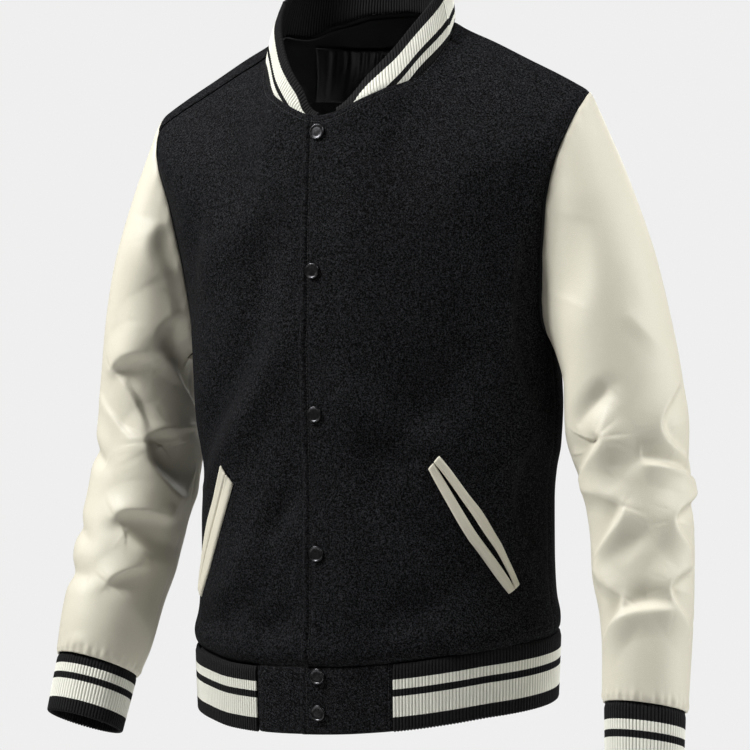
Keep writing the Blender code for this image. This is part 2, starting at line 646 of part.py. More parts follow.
def make_tab(name, side, material):
    """The waistband's wool tab at a front's edge."""
    middle_x = float(blend(BODY, "middle_x", HEM["z"]))
    width = float(blend(BODY, "half_width", HEM["z"]))
    ends = [math.asin((x * side - middle_x) * side / width) / (math.pi / 2) for x in (-OVERLAP, TAB_X + side * middle_x)]
    line = waist_line(side, -1, np.linspace(ends[0], ends[1], TAB_COLUMNS), 0)
    steps = np.linspace(RIB_BAND, GAP * 1.5, TAB_ROWS)
    narrow = BAND_NARROW * steps / RIB_BAND
    normals = grid_normals(np.stack([line - (0, 0, 1), line]), flip=side)[0]
    normals[:, 2] = 0
    normals /= np.linalg.norm(normals, axis=-1, keepdims=True)
    rise = LIFT * lifted(line[:, 0]) * (side > 0)
    outer = line[None] - np.array([0, 0, 1.0]) * steps[:, None, None]
    outer = outer + normals[None] * (rise[None, :, None] - narrow[:, None, None])
    normals = np.broadcast_to(normals, outer.shape)
    wall(name, outer, outer - normals * WOOL, material)
    return outer, normals


def neck_line(front, back, side):
    """The neckline along the panels' own edges, evenly from a front's middle to the back's middle, and which way
    the panels face there."""
    corner = len(NECK_STEPS)
    middle = back[0].shape[1] // 2
    line, way = (
        np.concatenate([f[-1, 1 : corner + 2], b[-1, middle : middle + side * (corner + 1) : side][::-1]])
        for f, b in zip(front, back)
    )
    length = np.concatenate([[0], np.cumsum(np.linalg.norm(np.diff(line, axis=0), axis=1))])
    at = np.linspace(0, length[-1], 721)
    return tuple(np.stack([np.interp(at, length, a[:, k]) for k in range(3)], -1) for a in (line, way))


def collar_top(turn):
    a = np.radians(turn)
    front = np.cos(a) >= 0
    power = np.where(front, COLLAR_TOP["power"], COLLAR_TOP["back_power"])
    depth = np.where(front, COLLAR_TOP["front"], COLLAR_TOP["back"])
    x = COLLAR_TOP["half_width"] * np.sin(a) ** (2 / power)
    y = COLLAR_TOP["middle_y"] - np.sign(np.cos(a)) * depth * np.abs(np.cos(a)) ** (2 / power)
    return np.stack([x, y, blend(COLLAR, "top_z", turn)], -1)


def make_collar(right, left, back, material):
    lows, highs, ways = [], [], []
    for side, front, end in ((1, left, COLLAR_ENDS["left"]), (-1, right, COLLAR_ENDS["right"])):
        line, way = neck_line(front, back, side)
        keep = (line[:, 0] * side > end) | (line[:, 1] > 0)
        line, way = line[keep], way[keep]
        turn = neck_side(line)[1]
        rim = collar_top(turn) * (side, 1, 1)
        from_end = np.clip((turn - turn[0]) / COLLAR_END_TURN, 0, 1)[:, None]
        near = COLLAR_END_SHARE * (1 - from_end) ** 2 * (1 + 2 * from_end)
        lows.append(line)
        highs.append(line * near + rim * (1 - near))
        ways.append(way)
    low, high, way = (np.concatenate([a[0], a[1][-2::-1]]) for a in (lows, highs, ways))
    length = np.concatenate([[0], np.cumsum(np.linalg.norm(np.diff(low, axis=0), axis=1))])
    ribs = rib_count(length[-1])

    def band(columns, thick):
        """Three rows of a skin, this far in from the collar's face; its foot clears the panels' inner edge."""
        at = np.linspace(0, length[-1], columns)
        base, top, panel = (
            np.stack([np.interp(at, length, a[:, k]) for k in range(3)], -1) for a in (low, high, way)
        )
        tall = np.linalg.norm(top - base, axis=-1, keepdims=True)
        up = (top - base) / tall
        bend = np.maximum(0, -np.sum(panel * up, axis=-1, keepdims=True))
        base = base + up * (GAP * 1.8 + (GAP * 2 + bend * (WOOL + GAP)) * (thick > 0))
        out = np.cross(np.gradient(base, axis=0), top - base)
        out /= np.linalg.norm(out, axis=-1, keepdims=True)
        from_middle = (base - (0, COLLAR_TOP["middle_y"], 0)) * (1, 1, 0)
        out *= np.sign(np.sum(out * from_middle, axis=-1, keepdims=True))
        belly = COLLAR_BELLY * np.clip(tall / 60, 0, 1)
        rows = [base + (top - base) * t + out * (belly * 4 * t * (1 - t) - thick) for t in (0, 0.5, 1)]
        return np.array(rows), np.array([out] * 3)

    outer, out = band(ribs * 2 + 1, 0)
    plain = band(ribs * 2 // COLLAR_PLAIN_PER + 1, KNIT)[0]
    return ribbed_wall("collar", outer, plain, out, COLLAR_PLAIN_PER, material)


def make_snap(name, panel, z, material):
    """A turned snap cap on the middle line of a panel."""
    sides = SNAP_SIDES
    point, normal = place_on(panel, float(blend(BODY, "middle_x", z)), z)
    right = np.array([1.0, 0, 0]) - normal[0] * normal
    right /= np.linalg.norm(right)
    up = np.cross(normal, right)
    turns = np.arange(sides) * 2 * math.pi / sides
    circle = np.cos(turns)[:, None] * right + np.sin(turns)[:, None] * up
    seat = point + normal * SNAP_SEAT
    points = np.concatenate(
        [[seat]]
        + [seat + normal * height + circle * radius for radius, height in zip(SNAP["radius"], SNAP["height"])]
        + [[seat + normal * SNAP_RISE]]
    )
    last = len(points) - 1
    faces = []
    for k in range(sides):
        n = (k + 1) % sides
        faces.append((0, 1 + n, 1 + k))
        faces.append((last - sides + k, last - sides + n, last))
        for i in range(len(SNAP["radius"]) - 1):
            low, high = 1 + i * sides, 1 + (i + 1) * sides
            faces.append((low + k, low + n, high + n, high + k))
    if signed_volume(points, faces) < 0:
        faces = [f[::-1] for f in faces]
    return add_object(name, points, faces, material)


def make_welt(name, panel, side, which, material):
    """One welt of a slanted pocket, laid on the front, on the middle's side or the seam's side of the slit."""
    top, foot = np.array(POCKET["top"]), np.array(POCKET["foot"])
    along = (foot - top) / np.linalg.norm(foot - top)
    sideways = np.array([-along[1], along[0]])
    rows = []
    for t in np.linspace(0, 1, WELT_STEPS):
        width = float(blend(POCKET_WIDTHS, which, t))
        near = float(blend(POCKET_WIDTHS, "slit", t)) if which == "side" else 0.0
        row = []
        for off in np.linspace(near, near + width, 3) * (1 if which == "side" else -1):
            x, z = top + (foot - top) * t + sideways * off - along * POCKET["slant"] * off
            z += side * POCKET["higher"]
            point, normal = place_on(panel, float(blend(BODY, "middle_x", z)) + side * x, z)
            row.append((point + normal * WELT_SEAT, normal))
        rows.append(row)
    inner = np.array([[p for p, n in row] for row in rows])
    normals = np.array([[n for p, n in row] for row in rows])
    return wall(name, inner + normals * LEATHER, inner, material)


def make_facing(back, material):
    """The satin facing that lines the back below the neck: the back's own points, moved in."""
    grid, normals = back
    middle = grid.shape[1] // 2
    part = np.s_[BODY_ROWS - FACING_ROWS :, middle - FACING_COLUMNS : middle + FACING_COLUMNS + 1]
    outer, way = grid[part], normals[part]
    outer = np.concatenate([outer[:-1], outer[-1:] * (1 - FACING_SHORT) + outer[-2:-1] * FACING_SHORT])
    outer = outer - way * (WOOL + GAP * 2)
    wall("back_facing", outer, outer - way * SATIN, material)
    return outer - way * SATIN, way


def make_label(name, facing, sizes, material):
    """A label inside the neck: the facing's points, moved in."""
    xs = np.linspace(sizes["x"] - sizes["width"] / 2, sizes["x"] + sizes["width"] / 2, LABEL_COLUMNS)
    zs = np.linspace(sizes["z"] - sizes["height"], sizes["z"], LABEL_ROWS)
    placed = [[place_on(facing, x, z) for x in xs] for z in zs]
    normals = np.array([[n for p, n in row] for row in placed])
    outer = np.array([[p for p, n in row] for row in placed]) - normals * sizes["seat"]
    return wall(name, outer, outer - normals * TAPE, material)


def main():
    wool = add_material("melton_wool", (0.012, 0.012, 0.014), 0.95)
    leather = add_material("cream_leather", (0.78, 0.72, 0.60), 0.45)
    knit = add_material("rib_knit", (0.02, 0.02, 0.022), 0.9)
    satin = add_material("black_satin", (0.015, 0.015, 0.017), 0.5)
    metal = add_material("gunmetal", (0.06, 0.06, 0.065), 0.35, 1.0)
    right = make_front("front_right", -1, wool)
    left = make_front("front_left", 1, wool)
    back = make_back(wool)
    make_sleeve("sleeve_right", -1, SLEEVE_RIGHT, SLEEVE_RIGHT_FOLDS, leather)
    make_sleeve("sleeve_left", 1, SLEEVE_LEFT, SLEEVE_LEFT_FOLDS, leather)
    make_cuff("cuff_right", -1, SLEEVE_RIGHT, CUFF_RIGHT, knit)
    make_cuff("cuff_left", 1, SLEEVE_LEFT, CUFF_LEFT, knit)
    make_waistband(knit)
    make_tab("hem_tab_right", -1, wool)
    tab = make_tab("hem_tab_left", 1, wool)
    make_collar(right, left, back, knit)
    for number, z in enumerate(SNAP_Z, 1):
        make_snap(f"snap_{number}", tab if z < HEM["z"] else left, z, metal)
    for side, word, panel in ((-1, "right", right), (1, "left", left)):
        make_welt(f"welt_{word}_front", panel, side, "front", leather)
        make_welt(f"welt_{word}_side", panel, side, "side", leather)
    facing = make_facing(back, satin)
    make_label("neck_label", facing, LABEL, satin)
    make_label("size_tag", facing, SIZE_TAG, satin)


for old in list(bpy.data.objects):
    bpy.data.objects.remove(old)
PARTS = bpy.data.collections.new("varsity_jacket")
bpy.context.scene.collection.children.link(PARTS)
NECK_AROUND = neck_around()
main()
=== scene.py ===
"""Varsity jacket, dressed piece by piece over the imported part: wool body, leather sleeves, striped rib knit.

Sizes are in millimetres and the meshes in metres. +Z is up, the front faces -Y and the wearer's left is +X. A
face is -1 on the front and +1 on the back; a side is +1 on the wearer's left and -1 on the right.
"""

import math

import bpy
import numpy as np
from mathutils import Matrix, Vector
from mathutils.bvhtree import BVHTree


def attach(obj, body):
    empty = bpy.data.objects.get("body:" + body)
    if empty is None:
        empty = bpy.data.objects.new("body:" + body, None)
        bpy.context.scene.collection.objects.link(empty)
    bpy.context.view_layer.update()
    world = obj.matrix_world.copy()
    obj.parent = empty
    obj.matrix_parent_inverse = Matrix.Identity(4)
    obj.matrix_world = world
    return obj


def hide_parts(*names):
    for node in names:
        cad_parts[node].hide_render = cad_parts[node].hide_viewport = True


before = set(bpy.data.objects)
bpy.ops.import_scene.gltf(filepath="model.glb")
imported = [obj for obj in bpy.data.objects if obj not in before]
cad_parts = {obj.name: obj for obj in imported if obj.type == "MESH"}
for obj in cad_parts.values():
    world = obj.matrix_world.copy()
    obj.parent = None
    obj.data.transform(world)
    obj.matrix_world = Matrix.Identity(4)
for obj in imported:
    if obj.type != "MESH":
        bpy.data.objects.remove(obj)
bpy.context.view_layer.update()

METRE = 0.001
GAP = 0.3  # between two pieces at a seam
WOOL = 2.0
LEATHER = 1.6
KNIT = 2.4
SATIN = 1.2
TAPE = 0.8

RIB_PITCH = 3.3
RIB_RISE = 1.2
RIB_BAND = 65.0
RIB_ROUND = 0.55
RIB_POINTS = 8  # columns of a knit to each rib
# A band is drawn in at its seam this deep and this wide, where its ribs rise by only this share
RIB_FOOT = {"depth": 0.8, "width": 3.0, "rise": 0.45}
BELLY_TALL = 60.0  # a band lower than this bellies out less
# Stripes of a rib knit, from its free edge in
STRIPES = {"from": (13.5, 40.5), "to": (33.5, 50.0)}

OVERLAP = 17.0
LIFT = 2.7
LIFT_X = (34.0, 66.0)

# Body sections, level by level
BODY = {
    "z": (60, 0, -60, -95, -160, -232, -290, -372, -440, -506, -565, -600, -628, -690),
    "half_width": (262, 262, 260, 254, 230, 211, 204, 201, 196, 195, 198, 202, 199, 195),
    "front": (82, 86, 92, 97, 106, 112, 114, 113, 113, 115, 116, 116, 112, 110),
    "back": (96, 112, 122, 127, 134, 137, 135, 129, 123, 119, 119, 121, 118, 115),
    "middle_x": (0, 0, 0, 0, 1, 2, 3, 4, 5, 6, 6, 5, 5, 5),
    "middle_y": (0, 0, 0, 0, 1, 2, 3, 4, 5, 6, 7, 8, 8, 8),
}
# Shoulder ridge, from the middle of the neck out
RIDGE = {
    "x": (0, 20, 60, 90, 111, 142, 180, 215, 245, 262),
    "z": (60, 59, 49, 27, 13, -2, -22, -40, -57, -68),
    "front_drop": (130, 132, 160, 215, 220, 205, 165, 115, 74, 74),
    "back_drop": (60, 61, 85, 115, 125, 130, 120, 95, 74, 74),
}
RIDGE_Y = 5.0
RIDGE_FALL = 2.2
RIDGE_ROUND = 1.35
# Armhole: how far round from the middle each face reaches, in degrees
ARMHOLE = {
    "z": (-700, -302, -296, -285, -270, -240, -200, -160, -119, -80, -58, 60),
    "front": (90, 90, 86, 80.5, 78, 76, 72.5, 69, 67.5, 69, 70.4, 70.4),
    "back": (90, 90, 85, 78, 74.5, 70.5, 67, 65.5, 66, 69, 70.4, 70.4),
}
UNDERARM_Z = -302.0
TIP_X = 245.0
TOP_Z = -60.0
SEAM_Y = -17.0
NECK = {
    "half_width": 104.0,
    "front": 112.0,
    "back": 84.0,
    "middle": -10.0,
    "tilt": 35.0,
    "power": 1.85,
    "back_power": 2.0,
}
HEM = {"z": -608.5, "per_x": 0.052, "per_y": 0.085}
# The waist seam is drawn up towards each side of the front: level by level out from the middle
HEM_RISE = {
    "x": (-200, -185, -150, -110, -60, 0, 60, 100, 140, 170, 200),
    "up": (4.5, 4, 2, -2, -3, -2, 0, 2.5, 6, 8.5, 9),
}
TAB_X = 77.0
BAND_NARROW = 2.5

# Sleeves, section by section down to the cuff
SLEEVE_LEFT = {
    "outer_x": (264, 288, 305, 321, 334, 343, 346, 354, 358, 361, 362.5, 364.5),
    "outer_z": (-98, -155, -210, -270, -325, -375, -420, -465, -516, -558, -600, -641),
    "inner_x": (215, 221, 223, 223, 224, 232, 245, 255, 261, 273, 280, 284.5),
    "inner_z": (-316, -330, -348, -368, -392, -420, -450, -487, -526, -564, -602, -641),
    "y": (8, 9, 9, 8, 6, 3, -2, -10, -20, -31, -43, -55),
    "front": (50, 58, 62, 63, 63, 61, 58, 54, 51, 48, 45, 41),
    "back": (54, 62, 64, 64, 63, 61, 58, 54, 51, 48, 45, 41),
    "tip": (0, 0, 0, 1, 3, 6, 9, 12, 14, 16, 17, 17),
}
SLEEVE_RIGHT = {
    "outer_x": (266, 284, 297, 308, 315, 320, 321, 323, 325, 322, 320, 317),
    "outer_z": (-98, -150, -205, -262, -318, -368, -425, -476, -512, -552, -592, -633),
    "inner_x": (215, 221, 220, 217, 214, 209, 209, 215, 218, 224, 226, 230),
    "inner_z": (-316, -330, -348, -368, -392, -410, -450, -490, -528, -568, -608, -641),
    "y": (8, 9, 9, 9, 9, 8, -2, -15, -29, -46, -64, -81),
    "front": (50, 58, 62, 62, 61, 60, 59, 57, 57, 54, 52, 45),
    "back": (54, 62, 64, 63, 61, 60, 59, 57, 57, 54, 52, 45),
    "tip": (0, 0, 0, 1, 3, 7, 13, 19, 23, 24, 24, 24),
}
CUFF_LEFT = {"foot": (331.0, -74.5, -704.5), "half_width": 37.0, "half_depth": 37.5}
CUFF_RIGHT = {"foot": (-270.0, -109.0, -691.0), "half_width": 42.0, "half_depth": 40.0}
CUFF_NARROW = 0.94
SLEEVE_FIRST = 0.8
SLEEVE_BLEND = 2.2
SLEEVE_START = 3.5 * GAP
ONWARD_STEP = 0.04

COLLAR = {
    "turn": (0, 12, 25, 45, 60, 75, 90, 120, 150, 180),
    "top_z": (-73, -64, -45, -13, 14, 36, 54, 78, 94, 100),
}
COLLAR_TOP = {
    "half_width": 90.0,
    "front": 74.0,
    "back": 66.0,
    "middle_y": -8.0,
    "power": 1.75,
    "back_power": 2.0,
}
COLLAR_BELLY = 2.5
# The knit is crowded beside the closing: its rows lie closer on the right end and wider on the left one
COLLAR_CROWD = {
    "turn": (0, 15, 30, 45, 60, 80, 180),
    "right": (1.5, 1.5, 1.5, 1.45, 1.3, 1, 1),
    "left": (0.78, 0.8, 0.9, 1, 1.04, 1, 1),
}
SEAM_TURN = 9.0  # a leaning band turns from its seam's way to its own over this
COLLAR_ENDS = {"right": 4.0, "left": 16.0}
COLLAR_END_SHARE = 0.55
COLLAR_END_TURN = 22.0

SNAP_Z = (-94, -231, -371, -507, -627, -663)
SNAP_SIDES = 40
# A snap cap's outline, from its flange over the rolled rim to the flat middle
SNAP = {
    "radius": (7.0, 7.5, 7.75, 7.75, 7.5, 7.0, 6.5, 6.1, 5.8, 4.0, 2.0),
    "height": (0.2, 0.4, 1.0, 1.8, 2.5, 2.85, 2.75, 2.35, 2.15, 2.3, 2.4),
}
WELT_ROWS = 121
WELT_COLUMNS = 13
WELT_EDGE = {"height": 0.9, "at": 0.12, "width": 0.16}  # the ridge beside the slit, in shares of the width
WELT_FOLD = {"depth": 0.7, "width": 0.1}  # and the turned-in outer edge
WELT_BELLY = 0.25  # how far its middle swells
WELT_STITCHES = {"depth": 0.22, "count": 44}
WELT_SEAT = 1.0  # from the wool to the underside of the leather
WELT_FILL = 0.6  # how much of that the welt's own cloth takes up
POCKET = {"top": (116.2, -425.8), "foot": (176.6, -547.7), "higher": 8.5, "slant": 0.45}
RIGHT_POCKET = {"slit": 0.2, "broader": 1.6}  # its slit is nearly closed over and its welts are broader
POCKET_WIDTHS = {
    "at": (0, 0.13, 0.32, 0.5, 0.7, 0.85, 1),
    "front": (6.3, 6.6, 6.9, 7.2, 7.3, 6.4, 4.8),
    "slit": (1.5, 3.8, 5.6, 6.9, 6.6, 4, 0.5),
    "side": (6.4, 6.4, 6.6, 7.4, 6.6, 5.2, 4.6),
}
LABEL = {"x": -52.0, "z": 12.0, "width": 62.0, "height": 52.0, "lean": 0.42, "seat": 1.8}
SIZE_TAG = {"x": 12.0, "z": 26.0, "width": 17.0, "height": 15.0, "lean": 0.2, "seat": 0.6}
FACING_FROM = 0.753  # rows of the back that the facing covers, from this share of the way up
FACING_SIDE = 2 / 7  # of the shoulder, that it reaches past the neckline

# Creases, a row each: three places it runs through, its width, its height (a trough is negative), from soft
# 0 to crisp 1, and its steep side on the way along: 1 on the left, -1 on the right, 0 for both alike. A place
# is x and z on the body. On a sleeve it is the level, after the degrees round from the outer edge through the
# front.
FRONT_FOLDS = (
    ((150, -290), (120, -360), (60, -420), 26, -9, 0.1, 0),
    ((60, -430), (105, -490), (160, -555), 22, -7, 0.2, 0),
    ((176, -130), (168, -200), (176, -270), 16, -6, 0.3, 0),
    ((60, -455), (100, -515), (150, -565), 22, 6, 0, 0),
    ((-120, -330), (-150, -390), (-180, -450), 22, -8, 0.1, 0),
    ((-60, -480), (-100, -540), (-150, -585), 22, 8, 0.2, 0),
    ((-35, -300), (-90, -380), (-150, -440), 20, 8, 0.2, 0),
    ((-150, -160), (-168, -215), (-178, -270), 18, -5, 0.2, 0),
    ((-60, -200), (-80, -300), (-140, -390), 22, -7, 0.1, 0),
    ((-90, -560), (-120, -580), (-165, -590), 20, -6, 0.2, 0),
    ((-40, -150), (-100, -200), (-165, -230), 24, 4.5, 0, 0),
    ((150, -500), (172, -520), (190, -560), 14, -5, 0.4, 0),
    ((120, -560), (150, -590), (190, -596), 16, 4, 0.2, 0),
    ((-22, -440), (-40, -470), (-66, -500), 16, -7, 0.2, 0),
    ((-24, -565), (-45, -580), (-75, -588), 15, -6, 0.2, 0),
    ((24, -180), (62, -260), (72, -330), 24, 5, 0, 0),
    ((30, -345), (80, -385), (130, -392), 20, 7, 0.1, 0),
    ((193, -200), (184, -300), (197, -368), 9, 5, 1, 1),
    ((197, -385), (181, -452), (197, -505), 9, 5, 1, 1),
    ((150, -520), (120, -550), (70, -575), 18, -5, 0.1, 0),
    ((30, -520), (50, -560), (90, -590), 16, 4, 0.1, 0),
)
BACK_FOLDS = (
    ((150, -150), (160, -220), (165, -300), 24, -4.5, 0.2, 0),
    ((-150, -150), (-162, -225), (-165, -300), 24, -4.5, 0.2, 0),
    ((165, -300), (130, -370), (90, -430), 28, 3, 0, 0),
    ((-165, -300), (-128, -365), (-90, -430), 28, 3, 0, 0),
    ((110, -520), (140, -560), (170, -590), 26, -3, 0.2, 0),
    ((-110, -520), (-142, -555), (-170, -590), 26, -3, 0.2, 0),
    ((40, -430), (85, -480), (150, -510), 26, 3, 0, 0),
    ((-60, -420), (-110, -490), (-165, -540), 24, 3, 0, 0),
)
SLEEVE_RIGHT_FOLDS = (
    ((78, -193), (99, -244), (116, -287), 14, 3, 0.2, 0),
    ((80, -172), (80, -203), (104, -232), 20, 6, 1, 1),
    ((131, -262), (120, -292), (142, -321), 22, 9, 1, 1),
    ((139, -316), (169, -348), (184, -383), 20, 9, 1, 1),
    ((163, -386), (172, -390), (181, -386), 8, 5, 0, 0),
    ((76, -327), (98, -312), (129, -308), 17, 8, 1, -1),
    ((52, -359), (91, -391), (118, -418), 9, 2.6, 0.6, 1),
    ((79, -329), (108, -363), (116, -397), 10, 3.4, 0.7, 1),
    ((161, -391), (123, -395), (122, -416), 15, 8, 1, 1),
    ((120, -407), (133, -438), (173, -468), 20, 10, 1, 1),
    ((102, -481), (124, -474), (163, -485), 15, 7.5, 1, -1),
    ((149, -474), (158, -480), (166, -486), 8, 4, 0, 0),
    ((116, -500), (139, -516), (152, -530), 11, 4, 0.8, 1),
    ((113, -549), (126, -538), (151, -532), 13, 6, 0.9, -1),
    ((116, -553), (144, -572), (193, -609), 9, 3, 0.6, 0),
    ((140, -285), (160, -319), (195, -346), 22, -6, 0, 0),
    ((145, -408), (160, -430), (188, -446), 18, -6, 0, 0),
    ((120, -495), (150, -507), (205, -524), 11, -5, 0, 0),
    ((96, -334), (121, -338), (145, -355), 18, -3, 0, 0),
    ((69, -618), (93, -610), (112, -619), 7, 2.5, 0.5, -1),
    ((5, -410), (45, -417), (75, -428), 10, -7, 0.4, 0),
    ((10, -497), (45, -496), (78, -506), 10, -6, 0.4, 0),
    ((10, -545), (50, -541), (90, -541), 10, -6, 0.4, 0),
    ((250, -340), (280, -365), (320, -380), 16, -6, 0.1, 0),
    ((320, -330), (290, -355), (240, -395), 15, 7, 0.9, 1),
    ((240, -400), (280, -420), (330, -430), 14, -6, 0.1, 0),
    ((300, -430), (270, -450), (230, -470), 15, 7, 0.9, 1),
    ((230, -480), (260, -500), (310, -505), 14, -5, 0.1, 0),
    ((300, -500), (340, -520), (370, -530), 15, 6, 0.8, -1),
)
SLEEVE_LEFT_FOLDS = (
    ((78, -342), (95, -357), (123, -380), 9, -8, 0.5, 0),
    ((98, -385), (97, -401), (142, -433), 15, 9, 1, 1),
    ((144, -441), (106, -443), (84, -452), 10, 5.5, 0.9, 0),
    ((83, -455), (97, -476), (132, -508), 13, 7, 1, 1),
    ((133, -511), (120, -523), (94, -540), 10, 5, 0.9, 0),
    ((93, -539), (107, -558), (136, -585), 13, 7, 1, 1),
    ((59, -416), (32, -420), (-20, -436), 10, 5.5, 1, -1),
    ((-32, -443), (34, -461), (6, -499), 13, 7.5, 1, -1),
    ((5, -510), (43, -529), (7, -569), 13, 7.5, 1, -1),
    ((113, -567), (81, -551), (38, -551), 12, 5, 0.9, -1),
    ((1, -335), (40, -380), (-1, -412), 13, 6, 1, -1),
    ((49, -272), (36, -291), (9, -316), 8, 2, 0.8, 0),
    ((69, -180), (83, -221), (101, -261), 15, -5.5, 0, 0),
    ((93, -421), (65, -408), (26, -410), 12, -3, 0, 0),
    ((116, -562), (80, -539), (42, -538), 10, -4, 0.2, 0),
    ((120, -509), (88, -491), (61, -475), 10, -2.5, 0, 0),
    ((140, -398), (125, -410), (155, -429), 13, -4, 0, 0),
    ((200, -290), (230, -372), (270, -380), 14, -6, 0.1, 0),
    ((260, -350), (290, -385), (320, -430), 14, 7, 0.9, 1),
    ((190, -350), (220, -440), (260, -430), 15, 7, 0.8, -1),
    ((250, -420), (290, -450), (330, -480), 13, -5, 0.1, 0),
    ((200, -440), (230, -520), (270, -510), 14, -5, 0.1, 0),
    ((260, -510), (290, -530), (320, -560), 15, 6, 0.8, 1),
)
# The left side of the body swells below the armhole, level by level
SIDE_SWELL = {"z": (60, -310, -335, -365, -400, -425, -455, -690), "out": (0, 0, 3, 5, 5, 2, 0, 0)}
FOLD_ENDS = 0.3
FOLD_FADE = 0.1
FOLD_LIMIT = 14.0  # creases that meet on a sleeve never add up to more
CREST = 1.8  # radius of a crisp crease
FLANK = 1.9  # its flat flanks reach this many of its widths
STEEP = 0.5  # its steep flank, in its widths
HOLLOW = {"depth": 0.9, "width": 1.6}  # and the hollow at the foot of that, in its heights and widths
FLANK_POWER = 1.5
FOLD_TAPER = 0.6
FOLD_POINTS = 10
# A seam draws the cloth down beside it: this deep and this wide
SEAM_DIP = {"depth": 1.1, "width": 3.2}
STITCH_DIP = {"depth": 0.7, "width": 1.3}
EDGE_DIP = {"depth": 1.5, "width": 2.0}  # the groove of a front's topstitching
EDGE_SWELL = {"depth": 0.8, "width": 3.2}  # the soft roll between that and the edge
EDGE_PRESS = {"depth": 1.8, "width": 3.0}  # and how the edge presses into the front below it
BLOUSE = {"swell": 2.4, "at": 17.0, "width": 13.0, "depth": 2.2, "draw": 4.5}  # over the waistband
NECK_STITCH = 6.5  # topstitching from the neckline
EDGE_STITCH = 8.5  # and from a front's edge
TAB_STITCH = 4.0  # and from a tab's seam end
ROLL = 2.2  # a turned edge's rounding
ROLL_DEPTH = 0.7
SLEEVE_SEAM_DIP = {"depth": 0.8, "width": 2.2}  # in mm and in degrees
# Gathers round a sleeve's ends, a row of waves each: how many go round, how high and how far turned
GATHERS = ((31, 0.5, 0), (17, 0.4, 1))
# At each end they stand highest this far from it and fade over this spread, in square millimetres
GATHERS_AT_CUFF = {"at": 4.0, "spread": 30.0, "share": 1.0}
GATHERS_AT_ARMHOLE = {"at": 5.0, "spread": 40.0, "share": 0.5}
# Puckers of a label, a row of waves each: how long, how high against each other and how far turned
PUCKERS = ((9.0, 1.0, 0), (5.3, 0.6, 1.3))
PUCKER_FADE = {"in": 2.5, "out": 22.0}  # they come and go over this far below its upper edge
LABEL_POINTS = (65, 41)
LABEL_CLEAR = 0.4  # between a label's seat and its cloth
LABEL_STITCH = 0.3  # its stitches lie this far over it
TAB_POINTS = (61, 49)
WAIST_POINTS = 400  # of each quarter of the waist seam, before it is spaced evenly
# Below the underarm and beside the side seam the way out of the cloth turns straight sideways over these
SIDE_SEAM = {"below": 8.0, "share": 0.03}
FOLDS_FROM = {"armhole": 30.0, "cuff": 22.0}  # a sleeve's creases come in over this far
# The wool sinks along a pocket's slit: where that lies off the slit's top, middle and foot, how wide and high
SLIT_SINK = {"top": (2, -4), "middle": (3, 0), "foot": (-1, 6), "width": 3.2, "height": -2.0}
RIM = 0.35  # how far a cut edge is rounded, in its thickness
IN_FRONT = -400.0  # y of a place before the whole jacket
BLUR = 0.05  # evens out the points round a place on a panel
HALVINGS = 40

# Tape over the seam inside an armhole: how far it reaches under the body, to which row of the sleeve, how far
# below them it lies, and a point that it goes round
ARMHOLE_TAPE = {"reach": 4.0, "row": 2, "clear": 0.9, "middle": (0.0, 0.0, -180.0)}
# Tape over the waist seam, inside: row by row, how far above the seam and how deep below the outer skin
WAIST_TAPE = {"up": (7.0, 3.5, 0.0, -3.5, -7.0), "deep": (3.2, 4.8, 6.4, 5.2, 4.0)}
WAIST_TAPE_STEP = 4  # columns of knit to one of the tape
SLEEVE_SEAMS = (195, 330)  # degrees round, under the arm and behind
SLEEVE_RINGS = 301
SLEEVE_COLUMNS = 216
SLEEVE_HEAD = 14  # rings before the sleeve's own sections
BODY_ROWS = 221
ROW_POWER = 2.6  # only a panel's upper rows follow its neckline
PAST_COLUMNS = 12  # of a front, past the middle line
PAST_POWER = 1.5  # they lie closer together at its edge
NECK_COLUMNS = 41
SHOULDER_COLUMNS = 57


# ---- the jacket's form ----


def blend(table, key, at, against=None):
    """A table's column read between its rows on a smooth curve, which never swings past them."""
    xs = np.array(table[against or next(iter(table))], float)
    ys = np.array(table[key], float)
    if xs[0] > xs[-1]:
        xs, ys = xs[::-1], ys[::-1]
    step = np.diff(xs)
    slope = np.diff(ys) / step
    product, total = slope[:-1] * slope[1:], slope[:-1] + slope[1:]
    inner = np.where(product > 0, 2 * slope[:-1] * slope[1:] / (total + 1e-12), 0)
    tangent = np.concatenate([[slope[0]], inner, [slope[-1]]])
    at = np.clip(np.asarray(at, float), xs[0], xs[-1])
    row = np.clip(np.searchsorted(xs, at) - 1, 0, len(xs) - 2)
    t = (at - xs[row]) / step[row]
    return (
        ys[row] * (1 + 2 * t) * (1 - t) ** 2
        + tangent[row] * step[row] * t * (1 - t) ** 2
        + ys[row + 1] * t**2 * (3 - 2 * t)
        + tangent[row + 1] * step[row] * t**2 * (t - 1)
    )


def unit(v):
    """The vectors, each with length 1."""
    return v / np.maximum(np.linalg.norm(v, axis=-1, keepdims=True), 1e-9)


def dot(a, b):
    """Scalar products of rows of vectors, with their last axis kept."""
    return np.sum(a * b, axis=-1, keepdims=True)


def ease(t):
    """A soft step from 0 to 1."""
    t = np.clip(t, 0, 1)
    return t * t * (3 - 2 * t)


def tip_turn():
    """How far round the shoulder's tip is, and the body's half width there."""
    width = float(blend(BODY, "half_width", TOP_Z))
    return math.asin(TIP_X / width), width


